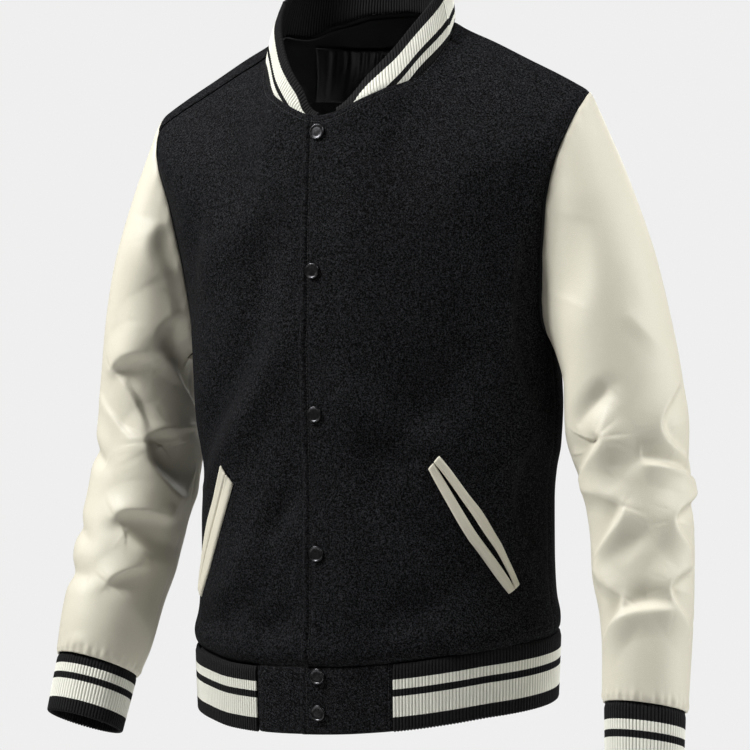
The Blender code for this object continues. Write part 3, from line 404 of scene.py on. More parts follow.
def body_point(side, face, around, down):
    """A point of the body: around from 0, the middle, to 1, the side seam or armhole, down from the ridge."""
    around, down = np.broadcast_arrays(np.asarray(around, float), np.asarray(down, float))
    face = np.where(down < 0, -face, face)
    drop = np.abs(down)
    turn, top_width = tip_turn()
    x_top = np.abs(top_width * np.sin(around * turn))
    fall = np.where(face < 0, blend(RIDGE, "front_drop", x_top), blend(RIDGE, "back_drop", x_top))
    share = np.where(drop < 1, 1 - np.cos(np.minimum(drop, 1) * math.pi / 2), 1 + (drop - 1) * math.pi / 2)
    z, share = blend(RIDGE, "z", x_top) - fall * share, np.minimum(share, 1)
    reach = around * np.radians(np.where(face < 0, blend(ARMHOLE, "front", z), blend(ARMHOLE, "back", z)))
    out = blend(BODY, "half_width", z) * np.sin(reach)
    depth = np.where(face < 0, blend(BODY, "front", z), blend(BODY, "back", z))
    y_section = blend(BODY, "middle_y", z) + face * depth * np.cos(reach)
    rounding = (1 - (1 - share) ** RIDGE_FALL) ** (1 / RIDGE_ROUND)
    y = RIDGE_Y + (y_section - RIDGE_Y) * rounding
    return np.stack([blend(BODY, "middle_x", z) + side * out, y, z], -1)


def solve(wanted, low, high):
    """The value between low and high at which wanted, which rises from below 0 to above it, is 0."""
    for _ in range(HALVINGS):
        middle = (low + high) / 2
        above = wanted(middle) > 0
        low, high = np.where(above, low, middle), np.where(above, middle, high)
    return (low + high) / 2


def hem_down(side, face, around):
    """How far down the waist seam is."""

    def below(down):
        p = body_point(side, face, around, down)
        rise = blend(HEM_RISE, "up", p[..., 0])
        return HEM["z"] + HEM["per_x"] * p[..., 0] + HEM["per_y"] * p[..., 1] + rise - p[..., 2]

    return solve(below, np.full(np.shape(around), 0.5), np.full(np.shape(around), 12.0))


def neck_side(p):
    """Below 0 inside the neckline's ring and above it outside, and how far round the ring a point is."""
    tilt = math.radians(NECK["tilt"])
    back = p[..., 1] * math.cos(tilt) + p[..., 2] * math.sin(tilt) - NECK["middle"]
    back = back / np.where(back < 0, NECK["front"], NECK["back"])
    across = np.abs(p[..., 0]) / NECK["half_width"]
    power = np.where(back < 0, NECK["power"], NECK["back_power"])
    return across**power + np.abs(back) ** power - 1, np.degrees(np.arctan2(across, -back))


def seam_down(side, around):
    """How far down the front the shoulder seam lies."""
    return solve(
        lambda down: SEAM_Y - body_point(side, -1, around, down)[..., 1],
        np.zeros(np.shape(around)),
        np.full(np.shape(around), 1.2),
    )


NECK_AROUND = float(
    solve(lambda a: neck_side(body_point(1, -1, a, seam_down(1, a)))[0], np.array(0.2), np.array(0.6))
)


def top_down(side, face, around):
    """How far down the neckline and the shoulder seam are: negative where the back comes over the ridge."""
    seam = seam_down(side, around) * -face
    neckline = solve(
        lambda down: neck_side(body_point(side, face, around, down))[0], seam, np.full(around.shape, 1.5)
    )
    return np.where(np.abs(around) < NECK_AROUND - 1e-6, neckline, seam)


def fold_height(u, v, folds, turn=0.0):
    """Height of the creases at (u, v). Where the cloth goes all the way round, turn is the whole way."""
    total = np.zeros(np.shape(u))
    t = np.linspace(0, 1, FOLD_POINTS + 1)
    weights = ((1 - t) * (1 - 2 * t), 4 * t * (1 - t), t * (2 * t - 1))
    for first, through, last, width, height, crisp, steep in folds:
        us, vs = zip(first, through, last)
        pu = u
        if turn:
            us = [us[0] + (a - us[0] + turn / 2) % turn - turn / 2 for a in us]
            middle = (us[0] + us[2]) / 2
            pu = middle + (u - middle + turn / 2) % turn - turn / 2
        cu, cv = (sum(w * a for w, a in zip(weights, places)) for places in (us, vs))
        nearest, place, aside = np.full(np.shape(u), np.inf), np.zeros(np.shape(u)), np.zeros(np.shape(u))
        for k in range(FOLD_POINTS):
            du, dv = cu[k + 1] - cu[k], cv[k + 1] - cv[k]
            along = np.clip(((pu - cu[k]) * du + (v - cv[k]) * dv) / (du * du + dv * dv + 1e-9), 0, 1)
            off_u, off_v = pu - cu[k] - along * du, v - cv[k] - along * dv
            off = np.hypot(off_u, off_v)
            closer = off < nearest
            place = np.where(closer, (k + along) / FOLD_POINTS, place)
            aside = np.where(closer, (du * off_v - dv * off_u) / (math.hypot(du, dv) * off + 1e-9), aside)
            nearest = np.minimum(nearest, off)
        soft = np.exp(-((nearest / width) ** 2))
        gentle = np.clip(1 - (np.hypot(nearest, CREST) - CREST) / (FLANK * width), 0, 1) ** FLANK_POWER
        hollow = HOLLOW["depth"] * np.exp(-((nearest / (HOLLOW["width"] * width)) ** 2))
        drop = (1 + HOLLOW["depth"]) * np.exp(-((nearest / (STEEP * width)) ** 2)) - hollow
        share = (0.5 + 0.5 * steep * aside) * abs(steep)
        sharp = gentle * (1 - share) + drop * share
        fade = FOLD_ENDS + (1 - FOLD_ENDS) * np.sin(math.pi * place) ** FOLD_TAPER
        total += height * ((1 - crisp) * soft + crisp * sharp) * fade
    return total


def grid_normals(grid, flip=1.0, ring=False):
    """Outward unit normals of a grid of points, by its own differences."""
    across = np.roll(grid, -1, 1) - np.roll(grid, 1, 1) if ring else np.gradient(grid, axis=1)
    return unit(np.cross(across, np.gradient(grid, axis=0)) * flip)


def lengths(grid, axis):
    """Distance along a grid's rows or columns from their first point."""
    step = np.linalg.norm(np.diff(grid, axis=axis), axis=-1)
    return np.insert(np.cumsum(step, axis=axis), 0, 0, axis=axis)


def dip(distance, sizes):
    """How far a groove of these sizes draws the cloth in."""
    return -sizes["depth"] * np.exp(-((distance / sizes["width"]) ** 2))


def rolled(distance):
    """How far a turned edge rounds away."""
    return ROLL * (1 - np.sqrt(1 - np.clip(1 - distance / ROLL, 0, 1) ** 2)) * ROLL_DEPTH


def blouse(from_hem):
    """The body swells a little over the waistband and is drawn in at its seam."""
    swell = BLOUSE["swell"] * np.exp(-(((from_hem - BLOUSE["at"]) / BLOUSE["width"]) ** 2))
    return swell - BLOUSE["depth"] * np.exp(-((from_hem / BLOUSE["draw"]) ** 2))


def lap(x):
    """From 1 beside the closing, where the left front lies over the right one, to 0 further out."""
    return ease((LIFT_X[1] - x) / (LIFT_X[1] - LIFT_X[0]))


def columns_from_middle():
    """A panel's columns: across the neckline, then along the shoulder to just short of the seam."""
    neck = np.linspace(0, NECK_AROUND, NECK_COLUMNS)[:-1]
    shoulder = np.linspace(NECK_AROUND, 1, SHOULDER_COLUMNS)
    return np.concatenate([neck, shoulder])


def body_grid(side, face, around, steps, lift=0.0):
    """Points and outward normals of one face of the body, row by row from the waist seam up."""
    inside = np.s_[1:-1, 1:-1]
    around, steps = (np.concatenate([[2 * a[0] - a[1]], a, [2 * a[-1] - a[-2]]]) for a in (around, steps))
    top = top_down(side, face, around)
    hem = hem_down(side, face, around)
    level = top[-1]
    down = hem + (level - hem) * steps[:, None] + (top - level) * np.maximum(steps, 0)[:, None] ** ROW_POWER
    grid = body_point(side, face, np.broadcast_to(around, down.shape), down)
    normals = grid_normals(grid, flip=side * face * -1.0)[inside]
    grid, around = grid[inside], around[1:-1]
    side_seam = unit(np.gradient(grid[:, -1], axis=0))
    sideways = unit(side * (np.array([1.0, 0, 0]) - side_seam[:, :1] * side_seam))
    near_side = ease((grid[..., 2:] * -1 + UNDERARM_Z) / SIDE_SEAM["below"])
    near_side = near_side * ease(1 - (1 - around[None, :, None]) / SIDE_SEAM["share"])
    normals = unit(normals * (1 - near_side) + sideways[:, None] * near_side)
    folds = FRONT_FOLDS if face < 0 else BACK_FOLDS
    height = fold_height(grid[..., 0], grid[..., 2], folds)
    height = height * np.clip((1 - np.abs(around)) / FOLD_FADE, 0, 1)
    if side > 0:
        height += blend(SIDE_SWELL, "out", grid[..., 2]) * ease(np.abs(around)) ** 2
    x = side * grid[..., 0]
    height = height + lift * lap(x)
    return grid + normals * height[..., None], normals, around[None, :].repeat(len(grid), 0)


def sew(grid, normals, height):
    """A grid moved out by the height at each point, with its normals."""
    return grid + normals * height[..., None], normals


def ring_turns(columns):
    """Turns of that many points evenly round a ring, in radians."""
    return np.arange(columns) * 2 * math.pi / columns


def section_plane(side, row):
    """Centre of a sleeve section and its ways to the outer edge and to the front, from a row of its table."""
    outer = np.array([side * row["outer_x"], 0, row["outer_z"]])
    inner = np.array([side * row["inner_x"], 0, row["inner_z"]])
    tip = math.radians(row["tip"])
    forward = np.array([0, -math.cos(tip), math.sin(tip)])
    return (outer + inner) / 2 + (0, row["y"], 0), (outer - inner) / 2, forward


def armhole_loop(side, turns):
    """Points of the armhole, by turns round it, and which way the body's surface would go on from there."""
    top, low = float(body_point(side, -1, 1.0, 0.0)[2]), UNDERARM_Z
    z_wanted = (top + low) / 2 + (top - low) / 2 * np.cos(turns)
    face = np.where(np.sin(turns) >= 0, -1, 1)
    down = solve(
        lambda d: z_wanted - body_point(side, face, 1.0, d)[..., 2],
        np.zeros(len(turns)),
        np.full(len(turns), 6.0),
    )
    points = body_point(side, face, 1.0, down)
    along = unit(np.roll(points, -1, 0) - np.roll(points, 1, 0))
    onward = points - body_point(side, face, 1 - ONWARD_STEP, down)
    return points, unit(onward - dot(onward, along) * along)


def sleeve_grid(side, table, folds):
    """Points, outward normals and the way round of a sleeve, ring by ring from the armhole to the cuff."""
    turns = ring_turns(SLEEVE_COLUMNS)
    loop, onward = armhole_loop(side, turns)
    sections = len(table["y"])
    keys = {"at": tuple(range(sections))} | table
    at = np.concatenate([[0], np.linspace(SLEEVE_FIRST, sections - 1, SLEEVE_RINGS - SLEEVE_HEAD)])
    row = {key: blend(keys, key, at, "at") for key in table}
    rings = []
    for k in range(len(at)):
        centre, across, forward = section_plane(side, {key: row[key][k] for key in row})
        depth = np.where(np.sin(turns) >= 0, row["front"][k], row["back"][k])
        rings.append(centre + np.cos(turns)[:, None] * across + (np.sin(turns) * depth)[:, None] * forward)
    rings = np.array(rings)
    start = loop + onward * SLEEVE_START
    share = ease(at / SLEEVE_BLEND)[:, None, None]
    rings = (rings - rings[:1] + start[None]) * (1 - share) + rings * share
    head = np.linspace(0, 1, SLEEVE_HEAD + 1)[:-1, None, None]
    rings = np.concatenate([start[None] * (1 - head) + rings[1:2] * head, rings[1:]])
    normals = grid_normals(rings, flip=side, ring=True)
    degrees = np.degrees(turns)[None, :].repeat(len(rings), 0)
    height = fold_height(degrees, rings[..., 2], folds, turn=360.0)
    down = lengths(rings, 0)
    up = down[-1:] - down
    height = FOLD_LIMIT * np.tanh(height / FOLD_LIMIT)
    height = height * ease(down / FOLDS_FROM["armhole"]) * ease(up / FOLDS_FROM["cuff"])
    return rings, normals, height, down, up, degrees


# ---- meshes ----


def quads(rows, columns, ring=False, tube=False, first=0):
    """The faces of a grid of points. ring joins its last column to its first, and tube its last row."""
    corners = ((0, 0), (0, 1), (1, 1), (1, 0))
    return [
        tuple(first + (i + down) % rows * columns + (j + along) % columns for down, along in corners)
        for i in range(rows if tube else rows - 1)
        for j in range(columns if ring else columns - 1)
    ]


def add_object(name, points, faces, materials, inside=None, attributes=None):
    """A smooth mesh object. inside marks faces of the second material; attributes are numbers at points."""
    mesh = bpy.data.meshes.new(name)
    mesh.from_pydata((np.asarray(points) * METRE).tolist(), [], faces)
    for key, values in (attributes or {}).items():
        values = np.asarray(values, np.float32)
        kind, field = ("FLOAT_VECTOR", "vector") if values.ndim == 2 else ("FLOAT", "value")
        mesh.attributes.new(key, kind, "POINT").data.foreach_set(field, values.ravel())
    for material in materials:
        mesh.materials.append(material)
    if inside is not None:
        mesh.polygons.foreach_set("material_index", np.asarray(inside, np.int32))
    mesh.shade_smooth()
    obj = bpy.data.objects.new(name, mesh)
    bpy.context.scene.collection.objects.link(obj)
    return obj


def faced_out(points, faces):
    """The faces, turned over if they face in."""
    points = points - points.mean(0)
    three = np.array([f[:3] for f in faces] + [(f[0], f[2], f[3]) for f in faces if len(f) > 3])
    a, b, c = points[three[:, 0]], points[three[:, 1]], points[three[:, 2]]
    return faces if np.sum(a * np.cross(b, c)) > 0 else [f[::-1] for f in faces]


def border(rows, columns, ring):
    """The edge loops of a grid, each in the order in which its faces run along it."""
    if ring:
        return [[(0, j) for j in range(columns)], [(rows - 1, j) for j in range(columns)][::-1]]
    loop = [(0, j) for j in range(columns - 1)] + [(i, columns - 1) for i in range(rows - 1)]
    loop += [(rows - 1, j) for j in range(columns - 1, 0, -1)] + [(i, 0) for i in range(rows - 1, 0, -1)]
    return [loop]


def shell(name, grid, normals, thick, materials, ring=False, plain=2, attributes=None):
    """Cloth: a fine outer skin, an inner one with every plain-th point, and a rounded edge between them."""
    rows, columns = grid.shape[:2]
    inner = grid[::plain, ::plain] - normals[::plain, ::plain] * thick
    inner_columns = inner.shape[1]
    first_inner = rows * columns
    first_rim = first_inner + inner.shape[0] * inner_columns
    faces = quads(rows, columns, ring)
    outer_count = len(faces)
    n = inner_columns
    faces += [(a, d, c, b) for a, b, c, d in quads(inner.shape[0], n, ring, first=first_inner)]
    inner_count = len(faces)
    rim, values = [], {key: [] for key in attributes or {}}
    for loop in border(rows, columns, ring):
        start = first_rim + len(rim)
        places = np.array([grid[c] for c in loop])
        way = np.array([normals[c] for c in loop])
        along = unit(np.roll(places, -1, 0) - np.roll(places, 1, 0))
        away = np.cross(along, way)
        inward = [(min(max(i, 1), rows - 2), j if ring else min(max(j, 1), columns - 2)) for i, j in loop]
        within = np.array([grid[c] for c in inward])
        away *= np.sign(dot(away, places - within))
        rim.extend(places - way * thick / 2 + away * thick * RIM)
        for key in values:
            values[key].extend(attributes[key][c] for c in loop)
        count = len(loop)
        shift = next(k for k, (i, j) in enumerate(loop) if i % plain == 0 and j % plain == 0)
        for k in range(count):
            a, b = loop[k], loop[(k + 1) % count]
            faces.append((b[0] * columns + b[1], a[0] * columns + a[1], start + k, start + (k + 1) % count))
        for k in range(shift, count + shift, plain):
            a, b = loop[k % count], loop[(k + plain) % count]
            span = [start + m % count for m in range(k + plain, k - 1, -1)]
            ends = [first_inner + c[0] // plain * n + c[1] // plain for c in (a, b)]
            faces.append((*span, *ends))
    points = np.concatenate([grid.reshape(-1, 3), inner.reshape(-1, 3), np.array(rim)])
    extra = {}
    for key, value in (attributes or {}).items():
        extra[key] = np.concatenate([value.ravel(), value[::plain, ::plain].ravel(), values[key]])
    inside = np.zeros(len(faces), int)
    inside[outer_count:inner_count] = len(materials) - 1
    return add_object(name, points, faced_out(points, faces), materials, inside, extra)


def dressed(obj, slot, *nodes, flat=None, area=None, held="hung", rests_on=()):
    """Puts a finished piece in place of its nodes and hangs it from the root; its finish and, for cloth, its
    flat cut in metres are not used.
    """
    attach(obj, "root")
    if nodes:
        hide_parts(*nodes)
    return obj


# ---- node trees ----


class Value:
    """A number's socket, with arithmetic that adds nodes to its tree."""

    def __init__(self, tree, socket):
        self.tree, self.socket = tree, socket

    def math(self, operation, *others, **settings):
        node = self.tree.make("ShaderNodeMath", {"operation": operation, **settings})
        for slot_in, value in zip(node.inputs, (self, *others)):
            self.tree.set(slot_in, value)
        return Value(self.tree, node.outputs[0])

    def __add__(self, other):
        return self.math("ADD", other)

    __radd__ = __add__

    def __mul__(self, other):
        return self.math("MULTIPLY", other)

    __rmul__ = __mul__

    def __sub__(self, other):
        return self.math("SUBTRACT", other)

    def __rsub__(self, other):
        return (self * -1.0).math("ADD", other)

    def __truediv__(self, other):
        return self.math("DIVIDE", other)

    def __pow__(self, other):
        return self.math("POWER", other)

    def __gt__(self, other):
        return self.math("GREATER_THAN", other)

    def __lt__(self, other):
        return self.math("LESS_THAN", other)

    def clamped(self):
        return self.math("ADD", 0.0, use_clamp=True)


class Tree:
    """A shader or geometry tree that is built line by line."""

    def __init__(self, nodes):
        self.nodes = nodes

    def set(self, socket, value):
        if isinstance(value, Value):
            self.nodes.links.new(value.socket, socket)
        elif isinstance(value, bpy.types.NodeSocket):
            self.nodes.links.new(value, socket)
        else:
            socket.default_value = value

    def make(self, kind, settings=None, **inputs):
        """Any node: its type, its settings and what goes into its sockets, by name or by number."""
        node = self.nodes.nodes.new(kind)
        for key, value in (settings or {}).items():
            setattr(node, key, value)
        for key, value in inputs.items():
            numbered = key[0] == "n" and key[1:].isdigit()
            self.set(node.inputs[int(key[1:]) if numbered else key.replace("_", " ")], value)
        return node

    def attribute(self, name):
        return Value(self, self.make("ShaderNodeAttribute", {"attribute_name": name}).outputs["Fac"])

    def noise(self, place, scale, detail=2.0, roughness=0.5):
        sizes = {"Scale": scale, "Detail": detail, "Roughness": roughness}
        return Value(self, self.make("ShaderNodeTexNoise", None, Vector=place, **sizes).outputs[0])

    def mix(self, share, a, b):
        """A colour between two others."""
        node = self.make("ShaderNodeMix", {"data_type": "RGBA"})
        for socket, value in ((node.inputs[0], share), (node.inputs[6], a), (node.inputs[7], b)):
            self.set(socket, value)
        return node.outputs[2]

    def grey(self, value):
        return self.make("ShaderNodeCombineXYZ", None, X=value, Y=value, Z=value).outputs[0]

    def bump(self, height, distance, strength=1.0):
        sizes = {"Height": height, "Distance": distance, "Strength": strength}
        return self.make("ShaderNodeBump", None, **sizes).outputs[0]


def material(name, colour, roughness, finish, **constants):
    """A procedural material: finish adds its nodes and returns what goes into the shader's own sockets."""
    made = bpy.data.materials.new(name)
    made.use_nodes = True
    tree = Tree(made.node_tree)
    shader = made.node_tree.nodes["Principled BSDF"]
    shader.inputs["Base Color"].default_value = (*colour, 1.0)
    shader.inputs["Roughness"].default_value = roughness
    for key, value in constants.items():
        shader.inputs[key.replace("_", " ")].default_value = value
    place = tree.make("ShaderNodeTexCoord").outputs["Object"]
    for key, value in finish(tree, place).items():
        tree.set(shader.inputs[key.replace("_", " ")], value)
    return made


def melton_finish(tree, place):
    """Felted wool: short fibres in clumps, with a soft broad mottle."""
    fibre = tree.noise(place, 760.0, 3.0, 0.75)
    clump = tree.noise(place, 400.0, 2.0, 0.6)
    broad = tree.noise(place, 22.0, 2.0)
    speck = ((fibre * 0.75 + clump * 0.25 - 0.41) * 4.8).clamped() ** 1.7
    colour = tree.mix(speck, (0.0004, 0.0004, 0.0005, 1), (0.038, 0.039, 0.043, 1))
    colour = tree.mix((broad * 0.3).clamped(), colour, (0.0050, 0.0051, 0.0060, 1))
    return {
        "Base_Color": colour,
        "Roughness": 0.74 + broad * 0.12,
        "Normal": tree.bump(fibre * 0.6 + clump * 0.8, 0.0012, 0.55),
    }


def leather_finish(tree, place):
    """Coated leather: a fine pebbled grain, slightly uneven in colour and shine."""
    warp = tree.noise(place, 160.0, 2.0)
    add = {"operation": "MULTIPLY_ADD"}
    moved = tree.make("ShaderNodeVectorMath", add, n0=tree.grey(warp), n1=(0.0022,) * 3, n2=place).outputs[0]
    cell = tree.make("ShaderNodeTexVoronoi", {"feature": "DISTANCE_TO_EDGE"}, Vector=moved, Scale=720.0)
    grain = (Value(tree, cell.outputs["Distance"]) * 3.0).clamped()
    broad = tree.noise(place, 14.0, 3.0)
    soft = tree.noise(place, 60.0, 2.0)
    colour = tree.mix((broad * 1.3 - 0.25).clamped(), (0.745, 0.715, 0.595, 1), (0.700, 0.670, 0.550, 1))
    colour = tree.mix((1.0 - grain) * 0.16, colour, (0.50, 0.46, 0.37, 1))
    return {
        "Base_Color": colour,
        "Roughness": 0.40 + soft * 0.12 + (1.0 - grain) * 0.1,
        "Normal": tree.bump(grain * 0.5 + soft * 1.2, 0.00022, 0.6),
    }


def knit_finish(tree, place):
    """Rib knit: rows of small V stitches on each rib, black with two cream stripes, with painted shade
    darkening the grooves between the ribs.
    """
    rib, drop, outer = (tree.attribute(name) for name in ("rib", "drop", "outer"))
    across = (rib.math("FRACT") - 0.5).math("ABSOLUTE")
    course = drop * (1.0 / 0.00145) + across * 1.5
    loops = (course.math("FRACT") - 0.5).math("ABSOLUTE") * 2.0
    fuzz = tree.noise(place, 900.0, 2.0, 0.6)
    ragged = drop + (fuzz - 0.5) * 0.0006 + across * 0.0004
    striped = 0.0
    for low, high in zip(*(STRIPES[key] for key in ("from", "to"))):
        striped = (ragged > low * METRE) * (ragged < high * METRE) + striped
    # groove: the share of painted shade towards the hollow between two ribs
    groove = (across * 2.0) ** 3.0
    black = tree.mix((fuzz * 1.4 - 0.3).clamped(), (0.004, 0.004, 0.0045, 1), (0.024, 0.024, 0.026, 1))
    # painted shade: the black is darkened in the grooves between the ribs
    black = tree.mix(groove.clamped(), black, (0.0008, 0.0008, 0.001, 1))
    cream = tree.mix((fuzz * 1.4 - 0.3).clamped(), (0.79, 0.79, 0.71, 1), (0.91, 0.91, 0.83, 1))
    # painted shade: the cream stripes are darkened in the grooves between the ribs
    cream = tree.mix((groove * 0.7).clamped(), cream, (0.42, 0.42, 0.35, 1))
    return {
        "Base_Color": tree.mix(striped.clamped() * (outer > 0.99), black, cream),
        "Roughness": 0.8 + fuzz * 0.15,
        "Normal": tree.bump(loops * 0.6 + fuzz * 0.3, 0.0006, 0.5),
    }


def satin_finish(tree, place):
    """Woven satin: very fine threads across a smooth dark face."""
    wave = tree.make("ShaderNodeTexWave", {"bands_direction": "Z"}, Vector=place, Scale=620.0, Distortion=1.5)
    threads = Value(tree, wave.outputs["Fac"])
    broad = tree.noise(place, 45.0, 2.0)
    colour = tree.mix(threads * 0.5, (0.014, 0.014, 0.016, 1), (0.045, 0.045, 0.049, 1))
    return {"Base_Color": colour, "Roughness": 0.26 + broad * 0.18, "Normal": tree.bump(threads, 0.0001, 0.4)}


def lining_finish(tree, place):
    """Plain woven lining."""
    threads = tree.noise(place, 1300.0, 1.0)
    broad = tree.noise(place, 30.0, 2.0)
    colour = tree.mix(threads * 0.7, (0.004, 0.004, 0.005, 1), (0.014, 0.014, 0.016, 1))
    return {"Base_Color": colour, "Roughness": 0.55 + broad * 0.2, "Normal": tree.bump(threads, 0.0002, 0.4)}


def metal_finish(tree, place):
    """Dark plated metal, worn a little lighter where it is rubbed."""
    worn = tree.noise(place, 420.0, 3.0, 0.6)
    colour = tree.mix((worn * 2.0 - 0.8).clamped(), (0.050, 0.050, 0.054, 1), (0.11, 0.11, 0.115, 1))
    return {"Base_Color": colour, "Roughness": 0.24 + worn * 0.16, "Normal": tree.bump(worn, 0.00004, 0.4)}


def thread_finish(tree, place):
    """Twisted sewing thread."""
    twist = tree.make("ShaderNodeTexWave", {"bands_direction": "DIAGONAL"}, Vector=place, Scale=1100.0)
    strands = Value(tree, twist.outputs["Fac"])
    return {
        "Base_Color": tree.mix(strands, (0.010, 0.010, 0.012, 1), (0.030, 0.030, 0.034, 1)),
        "Roughness": 0.6 + strands * 0.2,
        "Normal": tree.bump(strands, 0.0001, 0.4),
    }


def floor_finish(tree, place):
    """Plain pale floor, barely uneven."""
    soft = tree.noise(place, 3.0, 2.0)
    colour = tree.mix(soft, (0.80, 0.80, 0.80, 1), (0.84, 0.84, 0.84, 1))
    return {"Base_Color": colour, "Roughness": 0.7 + soft * 0.1}


def geometry_tree(name, inputs):
    """An empty geometry tree with named inputs, and the nodes at its two ends."""
    group = bpy.data.node_groups.new(name, "GeometryNodeTree")
    group.interface.new_socket("Geometry", in_out="INPUT", socket_type="NodeSocketGeometry")
    for key, kind in inputs.items():
        group.interface.new_socket(key, in_out="INPUT", socket_type=kind)
    group.interface.new_socket("Geometry", in_out="OUTPUT", socket_type="NodeSocketGeometry")
    tree = Tree(group)
    return tree, tree.make("NodeGroupInput"), tree.make("NodeGroupOutput")


def close_tree(tree, geometry, paint, end):
    """Realize Instances and Set Material, the last two nodes of each tree."""
    real = tree.make("GeometryNodeRealizeInstances", None, Geometry=geometry)
    painted = tree.make("GeometryNodeSetMaterial", None, Geometry=real.outputs[0], Material=paint)
    tree.set(end.inputs[0], painted.outputs[0])
    return tree.nodes


def rib_tree():
    """Raises the ribs of a knit out of its plain skin, by the rib number and the way out at each point."""
    sockets = {"Rise": "NodeSocketFloat", "Material": "NodeSocketMaterial"}
    tree, start, end = geometry_tree("rib_relief", sockets)

    def named(key, kind="FLOAT"):
        return tree.make("GeometryNodeInputNamedAttribute", {"data_type": kind}, Name=key).outputs[0]

    turn = Value(tree, named("rib")) * math.pi
    crown = turn.math("SINE").math("ABSOLUTE") ** RIB_ROUND
    rise = crown * Value(tree, named("swell")) * Value(tree, start.outputs["Rise"])
    out = named("out", "FLOAT_VECTOR")
    offset = tree.make("ShaderNodeVectorMath", {"operation": "SCALE"}, Vector=out, Scale=rise)
    moved = tree.make("GeometryNodeSetPosition", None, Geometry=start.outputs[0], Offset=offset.outputs[0])
    return close_tree(tree, moved.outputs[0], start.outputs["Material"], end)


def stitch_tree():
    """A row of stitches laid along each line of a wire mesh."""
    sizes = {"Pitch": "NodeSocketFloat", "Length": "NodeSocketFloat", "Thread": "NodeSocketFloat"}
    tree, start, end = geometry_tree("stitch_row", sizes | {"Material": "NodeSocketMaterial"})
    curve = tree.make("GeometryNodeMeshToCurve", None, Mesh=start.outputs[0])
    resampled = tree.make(
        "GeometryNodeResampleCurve", {"mode": "LENGTH"}, Curve=curve.outputs[0], Length=start.outputs["Pitch"]
    )
    ball = tree.make("GeometryNodeMeshUVSphere", None, Segments=8, Rings=5, Radius=0.5)
    smooth = tree.make("GeometryNodeSetShadeSmooth", None, Geometry=ball.outputs[0])
    tangent = tree.make("GeometryNodeInputTangent")
    turned = tree.make("FunctionNodeAlignEulerToVector", {"axis": "X"}, Vector=tangent.outputs[0])
    length, thread = start.outputs["Length"], start.outputs["Thread"]
    size = tree.make("ShaderNodeCombineXYZ", None, X=length, Y=thread, Z=thread)
    laid = tree.make(
        "GeometryNodeInstanceOnPoints",
        None,
        Points=resampled.outputs[0],
        Instance=smooth.outputs[0],
        Rotation=turned.outputs[0],
        Scale=size.outputs[0],
    )
    return close_tree(tree, laid.outputs[0], start.outputs["Material"], end)


def grown(obj, group, **inputs):
    """Runs a geometry tree on an object and leaves the plain mesh that it makes."""
    modifier = obj.modifiers.new(group.name, "NODES")
    modifier.node_group = group
    for item in group.interface.items_tree:
        if item.item_type == "SOCKET" and item.in_out == "INPUT" and item.name in inputs:
            modifier[item.identifier] = inputs[item.name]
    evaluated = obj.evaluated_get(bpy.context.evaluated_depsgraph_get())
    mesh = bpy.data.meshes.new_from_object(evaluated)
    obj.modifiers.remove(modifier)
    old, obj.data = obj.data, mesh
    mesh.name = obj.name
    bpy.data.meshes.remove(old)
    mesh.shade_smooth()
    return obj


def stitched(name, lines, paint, pitch=3.2, length=2.5, thread=0.55):
    """Topstitching along lines of points, in millimetres."""
    points, edges = [], []
    for line in lines:
        edges += [(len(points) + k, len(points) + k + 1) for k in range(len(line) - 1)]
        points += [tuple(p) for p in np.asarray(line) * METRE]
    mesh = bpy.data.meshes.new(name)
    mesh.from_pydata(points, edges, [])
    mesh.materials.append(paint)
    obj = bpy.data.objects.new(name, mesh)
    bpy.context.scene.collection.objects.link(obj)
    sizes = {"Pitch": pitch * METRE, "Length": length * METRE, "Thread": thread * METRE}
    return grown(obj, STITCHES, Material=paint, **sizes)


# ---- the pieces ----


def line_at(grid, normals, distance, wanted, axis, lift=0.35):
    """The line on a grid at a distance that rises along an axis, a little above the cloth."""
    if axis == 0:
        grid, normals, distance = grid.transpose(1, 0, 2), normals.transpose(1, 0, 2), distance.T
    line = []
    for points, ways, far in zip(grid, normals, distance):
        order = slice(None) if far[-1] > far[0] else slice(None, None, -1)
        if far.min() <= wanted <= far.max():
            at = [np.interp(wanted, far[order], (points + ways * lift)[order, k]) for k in range(3)]
            line.append(at)
    return np.array(line)


def neck_stitches(grid, normals, to_top, neck):
    """The line of topstitching along a panel's neckline, which the columns in neck run up to."""
    return line_at(grid[:, neck], normals[:, neck], to_top[:, neck], NECK_STITCH, 0)


